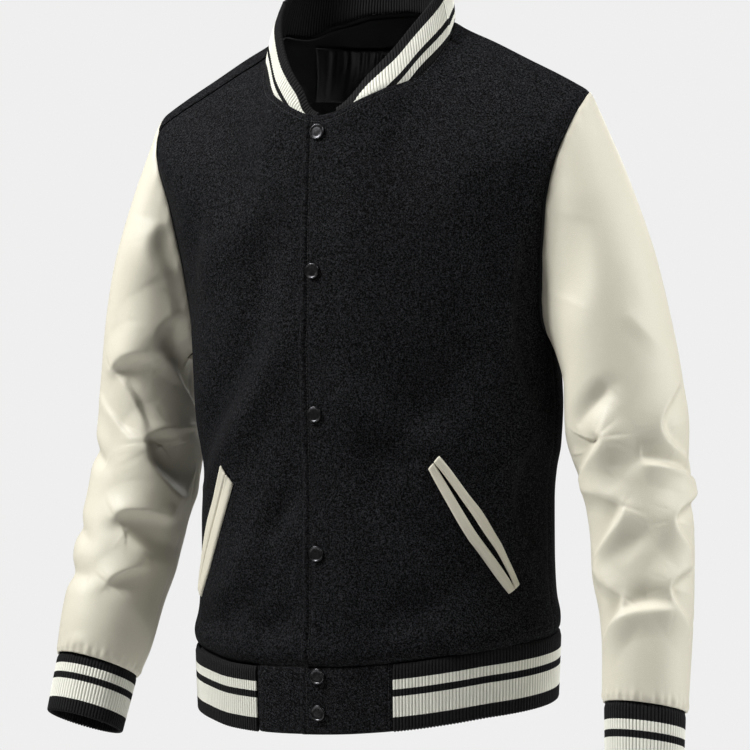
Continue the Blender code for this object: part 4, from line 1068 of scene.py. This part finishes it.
def make_front(name, side):
    """A front panel with its turned edge, drawn in at its seams and topstitched."""
    turn, top_width = tip_turn()
    edge = -OVERLAP / (top_width * turn)
    past = edge + (0 - edge) * np.linspace(0, 1, PAST_COLUMNS + 1)[:-1] ** PAST_POWER
    around = np.concatenate([past, columns_from_middle()])
    grid, normals, _ = body_grid(side, -1, around, np.linspace(0, 1, BODY_ROWS), LIFT if side > 0 else 0.0)
    from_edge, from_hem = lengths(grid, 1), lengths(grid, 0)
    to_seam, to_top = from_edge[:, -1:] - from_edge, from_hem[-1:] - from_hem
    height = dip(to_seam, SEAM_DIP) + dip(to_top, SEAM_DIP) + dip(from_hem, SEAM_DIP)
    height += blouse(from_hem)
    height -= rolled(from_edge)
    if side > 0:
        height += dip(from_edge - EDGE_STITCH, EDGE_DIP) - dip(from_edge - EDGE_STITCH / 2, EDGE_SWELL)
    else:
        height += dip(np.minimum(from_edge - 2 * OVERLAP + EDGE_PRESS["width"] / 2, 0), EDGE_PRESS)
    neck = np.abs(around) <= NECK_AROUND
    height += dip(to_top - NECK_STITCH, STITCH_DIP) * neck
    top, foot = np.array(POCKET["top"]), np.array(POCKET["foot"])
    middle = float(blend(BODY, "middle_x", (top[1] + foot[1]) / 2))
    places = (top + SLIT_SINK["top"], (top + foot) / 2 + SLIT_SINK["middle"], foot + SLIT_SINK["foot"])
    slit = (*places, SLIT_SINK["width"], SLIT_SINK["height"], 0, 0)
    x, z = side * (grid[..., 0] - middle), grid[..., 2] - side * POCKET["higher"]
    height += fold_height(x, z, [slit])
    grid, normals = sew(grid, normals, height)
    obj = shell(name, grid, normals, WOOL, [MELTON, LINING])
    lines = [line_at(grid, normals, from_edge, EDGE_STITCH, 1)] if side > 0 else []
    lines.append(neck_stitches(grid, normals, to_top, neck))
    return obj, (grid, normals), lines


def make_back():
    """The back panel, right half and left half in one piece."""
    half = columns_from_middle()
    steps = np.linspace(0, 1, BODY_ROWS)
    left, right = body_grid(1, 1, half, steps), body_grid(-1, 1, half, steps)
    grid = np.concatenate([right[0][:, :0:-1], left[0]], 1)
    normals = np.concatenate([right[1][:, :0:-1], left[1]], 1)
    normals[:, len(half) - 1, 0] = 0
    normals = unit(normals)
    across, from_hem = lengths(grid, 1), lengths(grid, 0)
    to_top = from_hem[-1:] - from_hem
    height = sum(dip(far, SEAM_DIP) for far in (across, across[:, -1:] - across, to_top, from_hem))
    height += blouse(from_hem)
    neck = np.concatenate([half[:0:-1], half]) <= NECK_AROUND
    height += dip(to_top - NECK_STITCH, STITCH_DIP) * neck
    grid, normals = sew(grid, normals, height)
    obj = shell("wool_back", grid, normals, WOOL, [MELTON, LINING])
    return obj, (grid, normals), [neck_stitches(grid, normals, to_top, neck)]


def make_sleeve(name, side, table, folds):
    """A set-in sleeve, drawn in at its seams and gathered at its two ends."""
    rings, normals, height, down, up, degrees = sleeve_grid(side, table, folds)
    height = height + dip(down, SEAM_DIP) + dip(up, SEAM_DIP)
    for seam in SLEEVE_SEAMS:
        height += dip(np.abs((degrees - seam + 180) % 360 - 180), SLEEVE_SEAM_DIP)
    gather = sum(np.sin(np.radians(degrees) * count + shift) * tall for count, tall, shift in GATHERS)
    height += sum(
        place["share"] * gather * np.exp(-((far - place["at"]) ** 2) / place["spread"])
        for far, place in ((up, GATHERS_AT_CUFF), (down, GATHERS_AT_ARMHOLE))
    )
    grid, normals = sew(rings, normals, height)
    return shell(name, grid, normals, LEATHER, [LEATHER_CREAM, LINING], ring=True), (grid, normals)


def in_metres(*sizes):
    """Sizes in millimetres as plain numbers in metres."""
    return tuple(float(size * METRE) for size in sizes)


def make_armhole_tape(name, side, sleeve):
    """A tape inside an armhole, from under the body to under the sleeve, over the seam between them."""
    turns = ring_turns(SLEEVE_COLUMNS)
    loop, onward = armhole_loop(side, turns)
    out = unit(np.cross(np.roll(loop, -1, 0) - np.roll(loop, 1, 0), onward))
    out *= np.sign(dot(out, loop - ARMHOLE_TAPE["middle"]))
    sleeve_row, sleeve_out = (part[ARMHOLE_TAPE["row"]] for part in sleeve)
    under_body = loop - onward * ARMHOLE_TAPE["reach"] - out * (WOOL + ARMHOLE_TAPE["clear"])
    under_seam = loop - unit(out + sleeve_out) * (WOOL + SEAM_DIP["depth"] + ARMHOLE_TAPE["clear"])
    under_sleeve = sleeve_row - sleeve_out * (LEATHER + ARMHOLE_TAPE["clear"])
    grid = np.array(
        [
            under_body,
            (under_body + under_seam) / 2,
            under_seam,
            (under_seam + under_sleeve) / 2,
            under_sleeve,
        ]
    )
    obj = shell(name, grid, grid_normals(grid, flip=side, ring=True), TAPE, [LINING], ring=True)
    width = lengths(grid, 0)[-1].mean()
    length = np.linalg.norm(np.roll(under_seam, -1, 0) - under_seam, axis=-1).sum()
    return obj, in_metres(width, length)


def knit_band(name, foot, edge, out, ring, belly=0.0, rows=(14, 5, 9), seam_out=None, crowd=1.0):
    """A folded band of rib knit, from its seam to the fold at its free edge and up the inside.

    rows is how many rows of points lie on its face, round its fold and up its inside. seam_out is the way
    out of the cloth that it is sewn to, where the band leans away from it. crowd is how many rows of knit lie
    where one would.
    """
    tall = np.linalg.norm(edge - foot, axis=-1)
    up = unit(edge - foot)
    radius = KNIT / 2
    face_rows, roll_rows, inside_rows = rows
    layers = []
    for t in np.linspace(0, 1, face_rows):
        s = t * (tall - radius)
        layers.append((s, np.zeros_like(s), out, tall - s))
    for turn in np.linspace(0, math.pi, roll_rows + 2)[1:-1]:
        way = out * math.cos(turn) + up * math.sin(turn)
        deep, drop = (np.full_like(tall, radius * a) for a in (1 - math.cos(turn), math.cos(turn)))
        layers.append((tall - radius + radius * math.sin(turn), deep, way, drop))
    for t in np.linspace(1, 0, inside_rows):
        s = t * (tall - radius)
        layers.append((s, np.full_like(s, KNIT), -out, s - tall))
    grid, ways, drops, swells = [], [], [], []
    for s, deep, way, drop in layers:
        bulge = belly * 4 * (s / tall) * (1 - s / tall) * np.clip(tall / BELLY_TALL, 0, 1)
        drawn = 1 - np.exp(-((s / RIB_FOOT["width"]) ** 2))
        leaning = ease(s / SEAM_TURN)[:, None]
        away = out if seam_out is None else unit(seam_out * (1 - leaning) + out * leaning)
        height = bulge - deep - RIB_FOOT["depth"] * (1 - drawn) * (deep < KNIT / 2)
        grid.append(foot + up * s[:, None] + away * height[:, None])
        ways.append(unit(way + away - out) if seam_out is not None and way is out else way)
        drops.append(drop * crowd * METRE)
        swells.append(RIB_FOOT["rise"] + (1 - RIB_FOOT["rise"]) * drawn)
    grid, ways, drops, swells = np.array(grid), np.array(ways), np.array(drops), np.array(swells)
    count, columns = grid.shape[:2]
    faces = quads(count, columns, ring, tube=True)
    if not ring:
        faces.append(tuple(i * columns for i in range(count)))
        faces.append(tuple(i * columns + columns - 1 for i in range(count))[::-1])
    points = grid.reshape(-1, 3)
    rib = np.broadcast_to(np.arange(columns) / RIB_POINTS, grid.shape[:2])
    outer = np.broadcast_to((np.arange(count) < count - inside_rows)[:, None], grid.shape[:2])
    attributes = {"rib": rib, "drop": drops, "swell": swells, "outer": outer}
    attributes = {key: value.ravel() for key, value in attributes.items()} | {"out": ways.reshape(-1, 3)}
    obj = add_object(name, points, faced_out(points, faces), [KNIT_STRIPED], attributes=attributes)
    return grown(obj, RIBS, Rise=RIB_RISE * METRE, Material=KNIT_STRIPED)


def rib_count(length):
    """How many ribs go into a length."""
    return round(length / RIB_PITCH)


def make_cuff(name, side, table, sizes):
    """A cuff, from the sleeve's last section to its own foot."""
    centre, across, forward = section_plane(side, {key: table[key][-1] for key in table})
    across = unit(across)
    down = unit(np.cross(across, forward))
    down *= -np.sign(down[2])
    columns = rib_count(math.pi * (sizes["half_width"] + sizes["half_depth"])) * RIB_POINTS
    turns = ring_turns(columns)
    wide = np.cos(turns)[:, None] * across * sizes["half_width"]
    deep = np.sin(turns)[:, None] * forward * sizes["half_depth"]
    foot, edge = centre + down * GAP + wide + deep, np.array(sizes["foot"]) + (wide + deep) * CUFF_NARROW
    return knit_band(name, foot, edge, unit(wide + deep), True)


def waist_line(side, face, around):
    """Points of the waist seam."""
    around = np.asarray(around, float)
    return body_point(side, face, around, hem_down(side, face, around))


def even(line, columns, *others):
    """A line's points again, evenly spaced, with whatever else is read along it."""
    length = lengths(line[:, None], 0)[:, 0]
    at = np.linspace(0, length[-1], columns)
    return [np.stack([np.interp(at, length, a[:, k]) for k in range(3)], -1) for a in (line, *others)]


def waist_path():
    """The waist seam behind the tabs, a column of knit at a time, and the way out at each."""
    fine = np.linspace(0, 1, WAIST_POINTS)
    quarters = ((-1, -1, fine), (-1, 1, fine[::-1]), (1, 1, fine), (1, -1, fine[::-1]))
    path = np.concatenate([waist_line(*quarter)[min(k, 1) :] for k, quarter in enumerate(quarters)])
    middle = np.array([float(blend(BODY, key, HEM["z"])) for key in ("middle_x", "middle_y")] + [0.0])
    path = path[~((path[:, 1] < 0) & (np.abs(path[:, 0] - middle[0]) < TAB_X - GAP))]
    columns = rib_count(lengths(path[:, None], 0)[-1, 0]) * RIB_POINTS + 1
    line = even(path, columns)[0]
    out = unit(np.cross([0, 0, 1.0], np.gradient(line, axis=0)))
    out *= np.sign(dot(out, line - middle))
    return line, out


def make_waistband(line, out):
    """The waistband, from tab to tab round the back."""
    edge = line - out * BAND_NARROW - (0, 0, RIB_BAND)
    return knit_band("knit_waistband", line - (0, 0, GAP), edge, out, False, rows=(13, 4, 3))


def make_waist_tape(line, out):
    """A tape inside the waist seam, which ends at the tabs so that the front can open."""
    line, out = line[::WAIST_TAPE_STEP], out[::WAIST_TAPE_STEP]
    rows = zip(WAIST_TAPE["up"], WAIST_TAPE["deep"])
    grid = np.array([line - out * deep + (0, 0, up) for up, deep in rows])
    obj = shell("waist_tape", grid, np.broadcast_to(out, grid.shape), TAPE, [LINING])
    width, length = lengths(grid, 0)[-1].mean(), lengths(grid, 1)[:, -1].mean()
    return obj, in_metres(width, length)


def make_tab(name, side):
    """A wool tab that ends the waistband at the closing, topstitched along its edge and its seam end."""
    middle_x = float(blend(BODY, "middle_x", HEM["z"]))
    width = float(blend(BODY, "half_width", HEM["z"]))
    reach = (-OVERLAP, TAB_X + side * middle_x)
    ends = [math.asin((x * side - middle_x) * side / width) / (math.pi / 2) for x in reach]
    line = waist_line(side, -1, np.linspace(ends[0], ends[1], TAB_POINTS[0]))
    steps = np.linspace(RIB_BAND, GAP, TAB_POINTS[1])
    normals = grid_normals(np.stack([line - (0, 0, 1), line]), flip=side)[0] * (1, 1, 0)
    normals = unit(normals)
    rise = LIFT * lap(line[:, 0]) * (side > 0)
    grid = line[None] - np.array([0, 0, 1.0]) * steps[:, None, None]
    normals = np.broadcast_to(normals, grid.shape)
    from_edge, from_foot = lengths(grid, 1), lengths(grid, 0)
    to_seam, to_end = from_foot[-1:] - from_foot, from_edge[:, -1:] - from_edge
    height = rise[None, :] - BAND_NARROW * steps[:, None] / RIB_BAND
    height = height + dip(to_seam, SEAM_DIP) + dip(to_end, SEAM_DIP)
    for far in (from_edge, from_foot):
        height = height - rolled(far)
    height += dip(from_edge - EDGE_STITCH, STITCH_DIP) + dip(to_end - TAB_STITCH, STITCH_DIP)
    grid, normals = sew(grid, normals, height)
    rows = ((from_edge, EDGE_STITCH), (to_end, TAB_STITCH))
    lines = [line_at(grid, normals, distance, wanted, 1) for distance, wanted in rows]
    return shell(name, grid, normals, WOOL, [MELTON, LINING]), (grid, normals), lines


def neck_line(front, back, side):
    """The neckline along the panels' edges, from a front's middle to the back's, and which way they face."""
    middle = back[0].shape[1] // 2
    on_front = np.s_[-1, PAST_COLUMNS : PAST_COLUMNS + NECK_COLUMNS]
    on_back = np.s_[-1, middle : middle + side * NECK_COLUMNS : side]
    return [np.concatenate([f[on_front], b[on_back][::-1]]) for f, b in zip(front, back)]


def collar_top(turn):
    """Points of the collar's upper edge, by degrees round from the front."""
    a = np.radians(turn)
    front = np.cos(a) >= 0
    power = np.where(front, COLLAR_TOP["power"], COLLAR_TOP["back_power"])
    depth = np.where(front, COLLAR_TOP["front"], COLLAR_TOP["back"])
    x = COLLAR_TOP["half_width"] * np.maximum(np.sin(a), 0) ** (2 / power)
    y = COLLAR_TOP["middle_y"] - np.sign(np.cos(a)) * depth * np.abs(np.cos(a)) ** (2 / power)
    return np.stack([x, y, blend(COLLAR, "top_z", turn)], -1)


def make_collar(right, left, back):
    """The stand collar, from the right front's end round the back to the left front's."""
    lows, highs, ways, crowds = [], [], [], []
    for side, front, end in ((1, left, COLLAR_ENDS["left"]), (-1, right, COLLAR_ENDS["right"])):
        line, way = neck_line(front, back, side)
        keep = (line[:, 0] * side > end) | (line[:, 1] > 0)
        line, way = line[keep], way[keep]
        turn = neck_side(line)[1]
        from_end = np.clip((turn - turn[0]) / COLLAR_END_TURN, 0, 1)[:, None]
        near = COLLAR_END_SHARE * (1 - from_end) ** 2 * (1 + 2 * from_end)
        crowds.append(np.tile(blend(COLLAR_CROWD, "left" if side > 0 else "right", turn)[:, None], 3))
        lows.append(line)
        highs.append(line * near + collar_top(turn) * (side, 1, 1) * (1 - near))
        ways.append(way)
    low, high, way, crowd = (np.concatenate([a[0], a[1][-2::-1]]) for a in (lows, highs, ways, crowds))
    columns = rib_count(lengths(low[:, None], 0)[-1, 0]) * RIB_POINTS + 1
    base, top, panel, crowd = even(low, columns, high, way, crowd)
    base = base + unit(top - base) * GAP
    out = unit(np.cross(np.gradient(base, axis=0), top - base))
    out *= np.sign(dot(out, (base - (0, COLLAR_TOP["middle_y"], 0)) * (1, 1, 0)))
    sizes = {"belly": COLLAR_BELLY, "rows": (20, 5, 16), "crowd": crowd[:, 0]}
    return knit_band("knit_collar", base, top, out, False, seam_out=panel, **sizes)


class Laid:
    """Finds the points of a panel's outer skin at places seen from the front."""

    def __init__(self, panel, inward=False):
        self.grid, self.normals = panel
        self.columns = self.grid.shape[1]
        faces = quads(self.grid.shape[0], self.columns)
        self.tree = BVHTree.FromPolygons(self.grid.reshape(-1, 3).tolist(), faces)
        self.way = Vector((0, 1, 0))
        self.start = 0.0 if inward else IN_FRONT

    def at(self, x, z):
        """The point at x and z and its outward normal."""
        place, _, face, _ = self.tree.ray_cast(Vector((x, self.start, z)), self.way)
        if place is None:
            place, _, face, _ = self.tree.find_nearest(Vector((x, self.start, z)))
        i, j = divmod(face, self.columns - 1)
        near = self.grid[i : i + 2, j : j + 2].reshape(-1, 3)
        weight = 1 / (np.linalg.norm(near - np.array(place), axis=1) ** 2 + BLUR)
        normal = (self.normals[i : i + 2, j : j + 2].reshape(-1, 3) * weight[:, None]).sum(0)
        return np.array(place), unit(normal)


def make_snap(name, laid, z):
    """A snap cap turned on the middle line: a flange, a bright rolled rim and a shallow dished top."""
    point, normal = laid.at(float(blend(BODY, "middle_x", z)), z)
    right = unit(np.array([1.0, 0, 0]) - normal[0] * normal)
    up = np.cross(normal, right)
    turns = ring_turns(SNAP_SIDES)
    circle = np.cos(turns)[:, None] * right + np.sin(turns)[:, None] * up
    outline = zip(SNAP["radius"], SNAP["height"])
    rings = [point + normal * height + circle * radius for radius, height in outline]
    poles = [[point + normal * SNAP["height"][end]] for end in (0, -1)]
    points = np.concatenate([poles[0], *rings, poles[1]])
    last = len(points) - 1
    faces = []
    for k in range(SNAP_SIDES):
        n = (k + 1) % SNAP_SIDES
        faces.append((0, 1 + n, 1 + k))
        faces.append((last - SNAP_SIDES + k, last - SNAP_SIDES + n, last))
        for i in range(len(SNAP["radius"]) - 1):
            low, high = 1 + i * SNAP_SIDES, 1 + (i + 1) * SNAP_SIDES
            faces.append((low + k, low + n, high + n, high + k))
    return add_object(name, points, faced_out(points, faces), [GUNMETAL])


def make_welt(name, laid, side, which):
    """One leather welt of a slanted pocket, raised beside the slit and drawn in by its stitches."""
    top, foot = np.array(POCKET["top"]), np.array(POCKET["foot"])
    along = unit(foot - top)
    sideways = np.array([-along[1], along[0]])
    points, ways = [], []
    for t in np.linspace(0, 1, WELT_ROWS):
        width = float(blend(POCKET_WIDTHS, which, t)) * (RIGHT_POCKET["broader"] if side < 0 else 1)
        near = float(blend(POCKET_WIDTHS, "slit", t)) if which == "side" else 0.0
        near *= RIGHT_POCKET["slit"] if side < 0 else 1
        for share in np.linspace(0, 1, WELT_COLUMNS):
            off = (near + width * share) * (1 if which == "side" else -1)
            x, z = top + (foot - top) * t + sideways * off - along * POCKET["slant"] * off
            z += side * POCKET["higher"]
            point, normal = laid.at(float(blend(BODY, "middle_x", z)) + side * x, z)
            edge = WELT_EDGE["height"] * math.exp(-(((share - WELT_EDGE["at"]) / WELT_EDGE["width"]) ** 2))
            fold = WELT_FOLD["depth"] * math.exp(-(((share - 1) / WELT_FOLD["width"]) ** 2))
            stitch = 0.5 + 0.5 * math.cos(t * 2 * math.pi * WELT_STITCHES["count"])
            raised = LEATHER + edge + WELT_BELLY * math.sin(math.pi * share)
            raised -= fold + WELT_STITCHES["depth"] * stitch * share
            points.append(point + normal * (WELT_SEAT + raised))
            ways.append(normal)
    grid, normals = (np.array(a).reshape(WELT_ROWS, WELT_COLUMNS, 3) for a in (points, ways))
    return shell(name, grid, normals, LEATHER + WELT_FILL, [LEATHER_CREAM])


def make_facing(back):
    """The facing that lines the back below the neck: the back's own points, moved in."""
    grid, normals = back
    rows, columns = grid.shape[:2]
    low = round((rows - 1) * FACING_FROM)
    low += (rows - 3 - low) % 2
    middle = columns // 2
    reach = NECK_COLUMNS - 1 + round((SHOULDER_COLUMNS - 1) * FACING_SIDE)
    part = np.s_[low : rows - 2, middle - reach : middle + reach + 1]
    outer, way = grid[part] - normals[part] * (WOOL + GAP * 2), normals[part]
    obj = shell("satin_back_facing", outer, way, SATIN, [LINING, LINING])
    return obj, (outer - way * SATIN, way)


def make_label(name, facing, sizes, puckers):
    """A satin label inside the neck, puckered below the stitches of its upper edge."""
    xs = np.linspace(sizes["x"] - sizes["width"] / 2, sizes["x"] + sizes["width"] / 2, LABEL_POINTS[0])
    zs = np.linspace(sizes["z"] - sizes["height"], sizes["z"], LABEL_POINTS[1])
    placed = [[facing.at(x - sizes["lean"] * (sizes["z"] - z), z) for x in xs] for z in zs]
    normals = np.array([[n for p, n in row] for row in placed])
    grid = np.array([[p for p, n in row] for row in placed])
    across, down = (xs - xs[0])[None, :], (zs[-1] - zs)[:, None]
    wave = sum(tall * np.sin(across / long * 2 * math.pi + shift) for long, tall, shift in PUCKERS)
    height = puckers * wave * np.exp(-down / PUCKER_FADE["out"]) * (1 - np.exp(-down / PUCKER_FADE["in"]))
    grid = grid - normals * (sizes["seat"] + LABEL_CLEAR + TAPE + height)[..., None]
    rim = [grid[-2, 2:-2] - normals[-2, 2:-2] * LABEL_STITCH]
    return shell(name, grid, -normals, TAPE, [SATIN_BLACK]), rim


# ---- the jacket, piece by piece ----


MELTON = material("melton_wool", (0.02, 0.02, 0.022), 0.9, melton_finish, Specular_IOR_Level=0.03)
LEATHER_COAT = {"Specular_IOR_Level": 0.5, "Coat_Weight": 0.12, "Coat_Roughness": 0.35}
LEATHER_CREAM = material("cream_leather", (0.78, 0.72, 0.6), 0.45, leather_finish, **LEATHER_COAT)
KNIT_SHEEN = {"Sheen_Weight": 0.03, "Specular_IOR_Level": 0.1}
KNIT_STRIPED = material("rib_knit", (0.02, 0.02, 0.02), 0.9, knit_finish, **KNIT_SHEEN)
SATIN_BLACK = material("black_satin", (0.012, 0.012, 0.014), 0.35, satin_finish, Sheen_Weight=0.1)
LINING = material("black_lining", (0.01, 0.01, 0.012), 0.6, lining_finish)
GUNMETAL = material("gunmetal", (0.06, 0.06, 0.065), 0.3, metal_finish, Metallic=1.0)
THREAD = material("black_thread", (0.02, 0.02, 0.022), 0.6, thread_finish)
FLOOR = material("pale_floor", (0.82, 0.82, 0.82), 0.7, floor_finish)
RIBS, STITCHES = rib_tree(), stitch_tree()

right, right_panel, right_lines = make_front("wool_front_right", -1)
left, left_panel, left_lines = make_front("wool_front_left", 1)
back, back_panel, back_lines = make_back()
dressed(right, "melton_wool", "front_right", flat=(0.30, 0.64), area=0.150)
dressed(left, "melton_wool", "front_left", flat=(0.30, 0.64), area=0.150)
dressed(back, "melton_wool", "back", flat=(0.56, 0.68), area=0.33)

sleeve_right, sleeve_right_skin = make_sleeve("leather_sleeve_right", -1, SLEEVE_RIGHT, SLEEVE_RIGHT_FOLDS)
sleeve_left, sleeve_left_skin = make_sleeve("leather_sleeve_left", 1, SLEEVE_LEFT, SLEEVE_LEFT_FOLDS)
dressed(sleeve_right, "cream_leather", "sleeve_right_top", "sleeve_right_under", flat=(0.43, 0.58), area=0.20)
dressed(sleeve_left, "cream_leather", "sleeve_left_top", "sleeve_left_under", flat=(0.43, 0.58), area=0.20)
for side, word, skin in ((-1, "right", sleeve_right_skin), (1, "left", sleeve_left_skin)):
    tape, tape_size = make_armhole_tape(f"armhole_tape_{word}", side, skin)
    dressed(tape, "black_satin", flat=tape_size, held="hung")

collar = make_collar(right_panel, left_panel, back_panel)
waist = waist_path()
waistband = make_waistband(*waist)
waist_tape, waist_tape_size = make_waist_tape(*waist)
dressed(waist_tape, "black_satin", flat=waist_tape_size)
cuff_right = make_cuff("knit_cuff_right", -1, SLEEVE_RIGHT, CUFF_RIGHT)
cuff_left = make_cuff("knit_cuff_left", 1, SLEEVE_LEFT, CUFF_LEFT)
dressed(collar, "rib_knit", "collar", flat=(0.54, 0.075), area=0.034, held="stretched")
dressed(waistband, "rib_knit", "hem_rib", flat=(0.84, 0.065), held="stretched")
dressed(cuff_right, "rib_knit", "cuff_right", flat=(0.26, 0.063), held="stretched")
dressed(cuff_left, "rib_knit", "cuff_left", flat=(0.24, 0.063), held="stretched")

tab_right, _, tab_right_lines = make_tab("wool_tab_right", -1)
tab_left, tab_left_panel, tab_left_lines = make_tab("wool_tab_left", 1)
dressed(tab_right, "melton_wool", "hem_tab_right", flat=(0.095, 0.065))
dressed(tab_left, "melton_wool", "hem_tab_left", flat=(0.095, 0.065))

left_laid, tab_laid, right_laid = Laid(left_panel), Laid(tab_left_panel), Laid(right_panel)
for number, z in enumerate(SNAP_Z, 1):
    snap = make_snap(f"snap_cap_{number}", tab_laid if z < HEM["z"] else left_laid, z)
    dressed(snap, "gunmetal", f"snap_{number}")
for side, word, laid in ((-1, "right", right_laid), (1, "left", left_laid)):
    for which in ("front", "side"):
        welt = make_welt(f"leather_welt_{word}_{which}", laid, side, which)
        dressed(welt, "cream_leather", f"welt_{word}_{which}")

facing, facing_panel = make_facing(back_panel)
dressed(
    facing, "black_satin", "back_facing", flat=(0.36, 0.22), area=0.051, held="laid", rests_on=["wool_back"]
)
inside = Laid(facing_panel, inward=True)
label, label_rim = make_label("satin_neck_label", inside, LABEL, 0.65)
tag, _ = make_label("satin_size_tag", inside, SIZE_TAG, 0.1)
dressed(
    label, "black_satin", "neck_label", flat=(0.062, 0.077), held="laid", rests_on=["satin_back_facing"]
)
dressed(
    tag, "black_satin", "size_tag", flat=(0.0175, 0.023), held="laid", rests_on=["satin_back_facing"]
)

panel_lines = right_lines + left_lines + back_lines
seams = stitched("black_topstitching", panel_lines + tab_right_lines + tab_left_lines + label_rim, THREAD)
dressed(seams, "melton_wool")


# ---- floor, light and camera ----


def add_light(name, azimuth, elevation, distance, size, power, colour=(1, 1, 1)):
    """A square soft light round the jacket's middle, aimed at it."""
    light = bpy.data.lights.new(name, "AREA")
    light.energy, light.size, light.color = power, size, colour
    obj = bpy.data.objects.new(name, light)
    bpy.context.scene.collection.objects.link(obj)
    a, e = math.radians(azimuth), math.radians(elevation)
    way = Vector((math.sin(a) * math.cos(e), -math.cos(a) * math.cos(e), math.sin(e)))
    obj.location = MIDDLE + way * distance
    obj.rotation_euler = way.to_track_quat("Z", "Y").to_euler()
    return obj


MIDDLE = Vector((0, 0, -0.313))
FLOOR_Z = -1.45  # the neck is as high over the floor as on a wearer
FLOOR_RADIUS = 3.0
BACKDROP_RADIUS = 9.0
BACKDROP_GREY = 0.863

ground = (0, 0, FLOOR_Z)
bpy.ops.mesh.primitive_circle_add(vertices=96, radius=FLOOR_RADIUS, fill_type="NGON", location=ground)
floor = bpy.context.object
floor.name = "pale_floor"
floor.data.materials.append(FLOOR)
bpy.ops.mesh.primitive_uv_sphere_add(segments=48, ring_count=24, radius=BACKDROP_RADIUS, location=ground)
backdrop = bpy.context.object
backdrop.name = "pale_backdrop"
backdrop.visible_diffuse = backdrop.visible_glossy = False
backdrop.visible_shadow = backdrop.visible_transmission = False
glow = bpy.data.materials.new("pale_backdrop")
glow.use_nodes = True
glow_shader = glow.node_tree.nodes["Principled BSDF"]
glow_shader.inputs["Base Color"].default_value = (0, 0, 0, 1)
glow_shader.inputs["Emission Color"].default_value = (BACKDROP_GREY,) * 3 + (1,)
glow_shader.inputs["Emission Strength"].default_value = 1.0
glow_shader.inputs["Specular IOR Level"].default_value = 0.0
backdrop.data.materials.append(glow)

world = bpy.data.worlds.new("studio")
world.use_nodes = True
world.node_tree.nodes["Background"].inputs[0].default_value = (1.0, 0.94, 0.84, 1)
world.node_tree.nodes["Background"].inputs[1].default_value = 0.06
bpy.context.scene.world = world
bpy.context.scene.view_settings.view_transform = "Standard"

add_light("key", -51, 45, 2.8, 0.9, 113, (1.0, 0.998, 0.99))
add_light("side", 88, 46, 2.6, 1.2, 34)
add_light("edge", 104, 12, 2.6, 1.4, 33)
add_light("back", 180, 30, 2.6, 1.4, 16)

CAMERA_TURN = math.radians(28)
CAMERA_DISTANCE = 2.3
camera = bpy.data.objects.new("camera", bpy.data.cameras.new("camera"))
bpy.context.scene.collection.objects.link(camera)
camera.location = (
    CAMERA_DISTANCE * math.sin(CAMERA_TURN),
    -CAMERA_DISTANCE * math.cos(CAMERA_TURN),
    MIDDLE.z,
)
camera.rotation_euler = (math.pi / 2, 0, CAMERA_TURN)
camera.data.sensor_width = 36.0
camera.data.lens = 108.2
camera.data.shift_x, camera.data.shift_y = 0.01333, -0.02667
bpy.context.scene.camera = camera
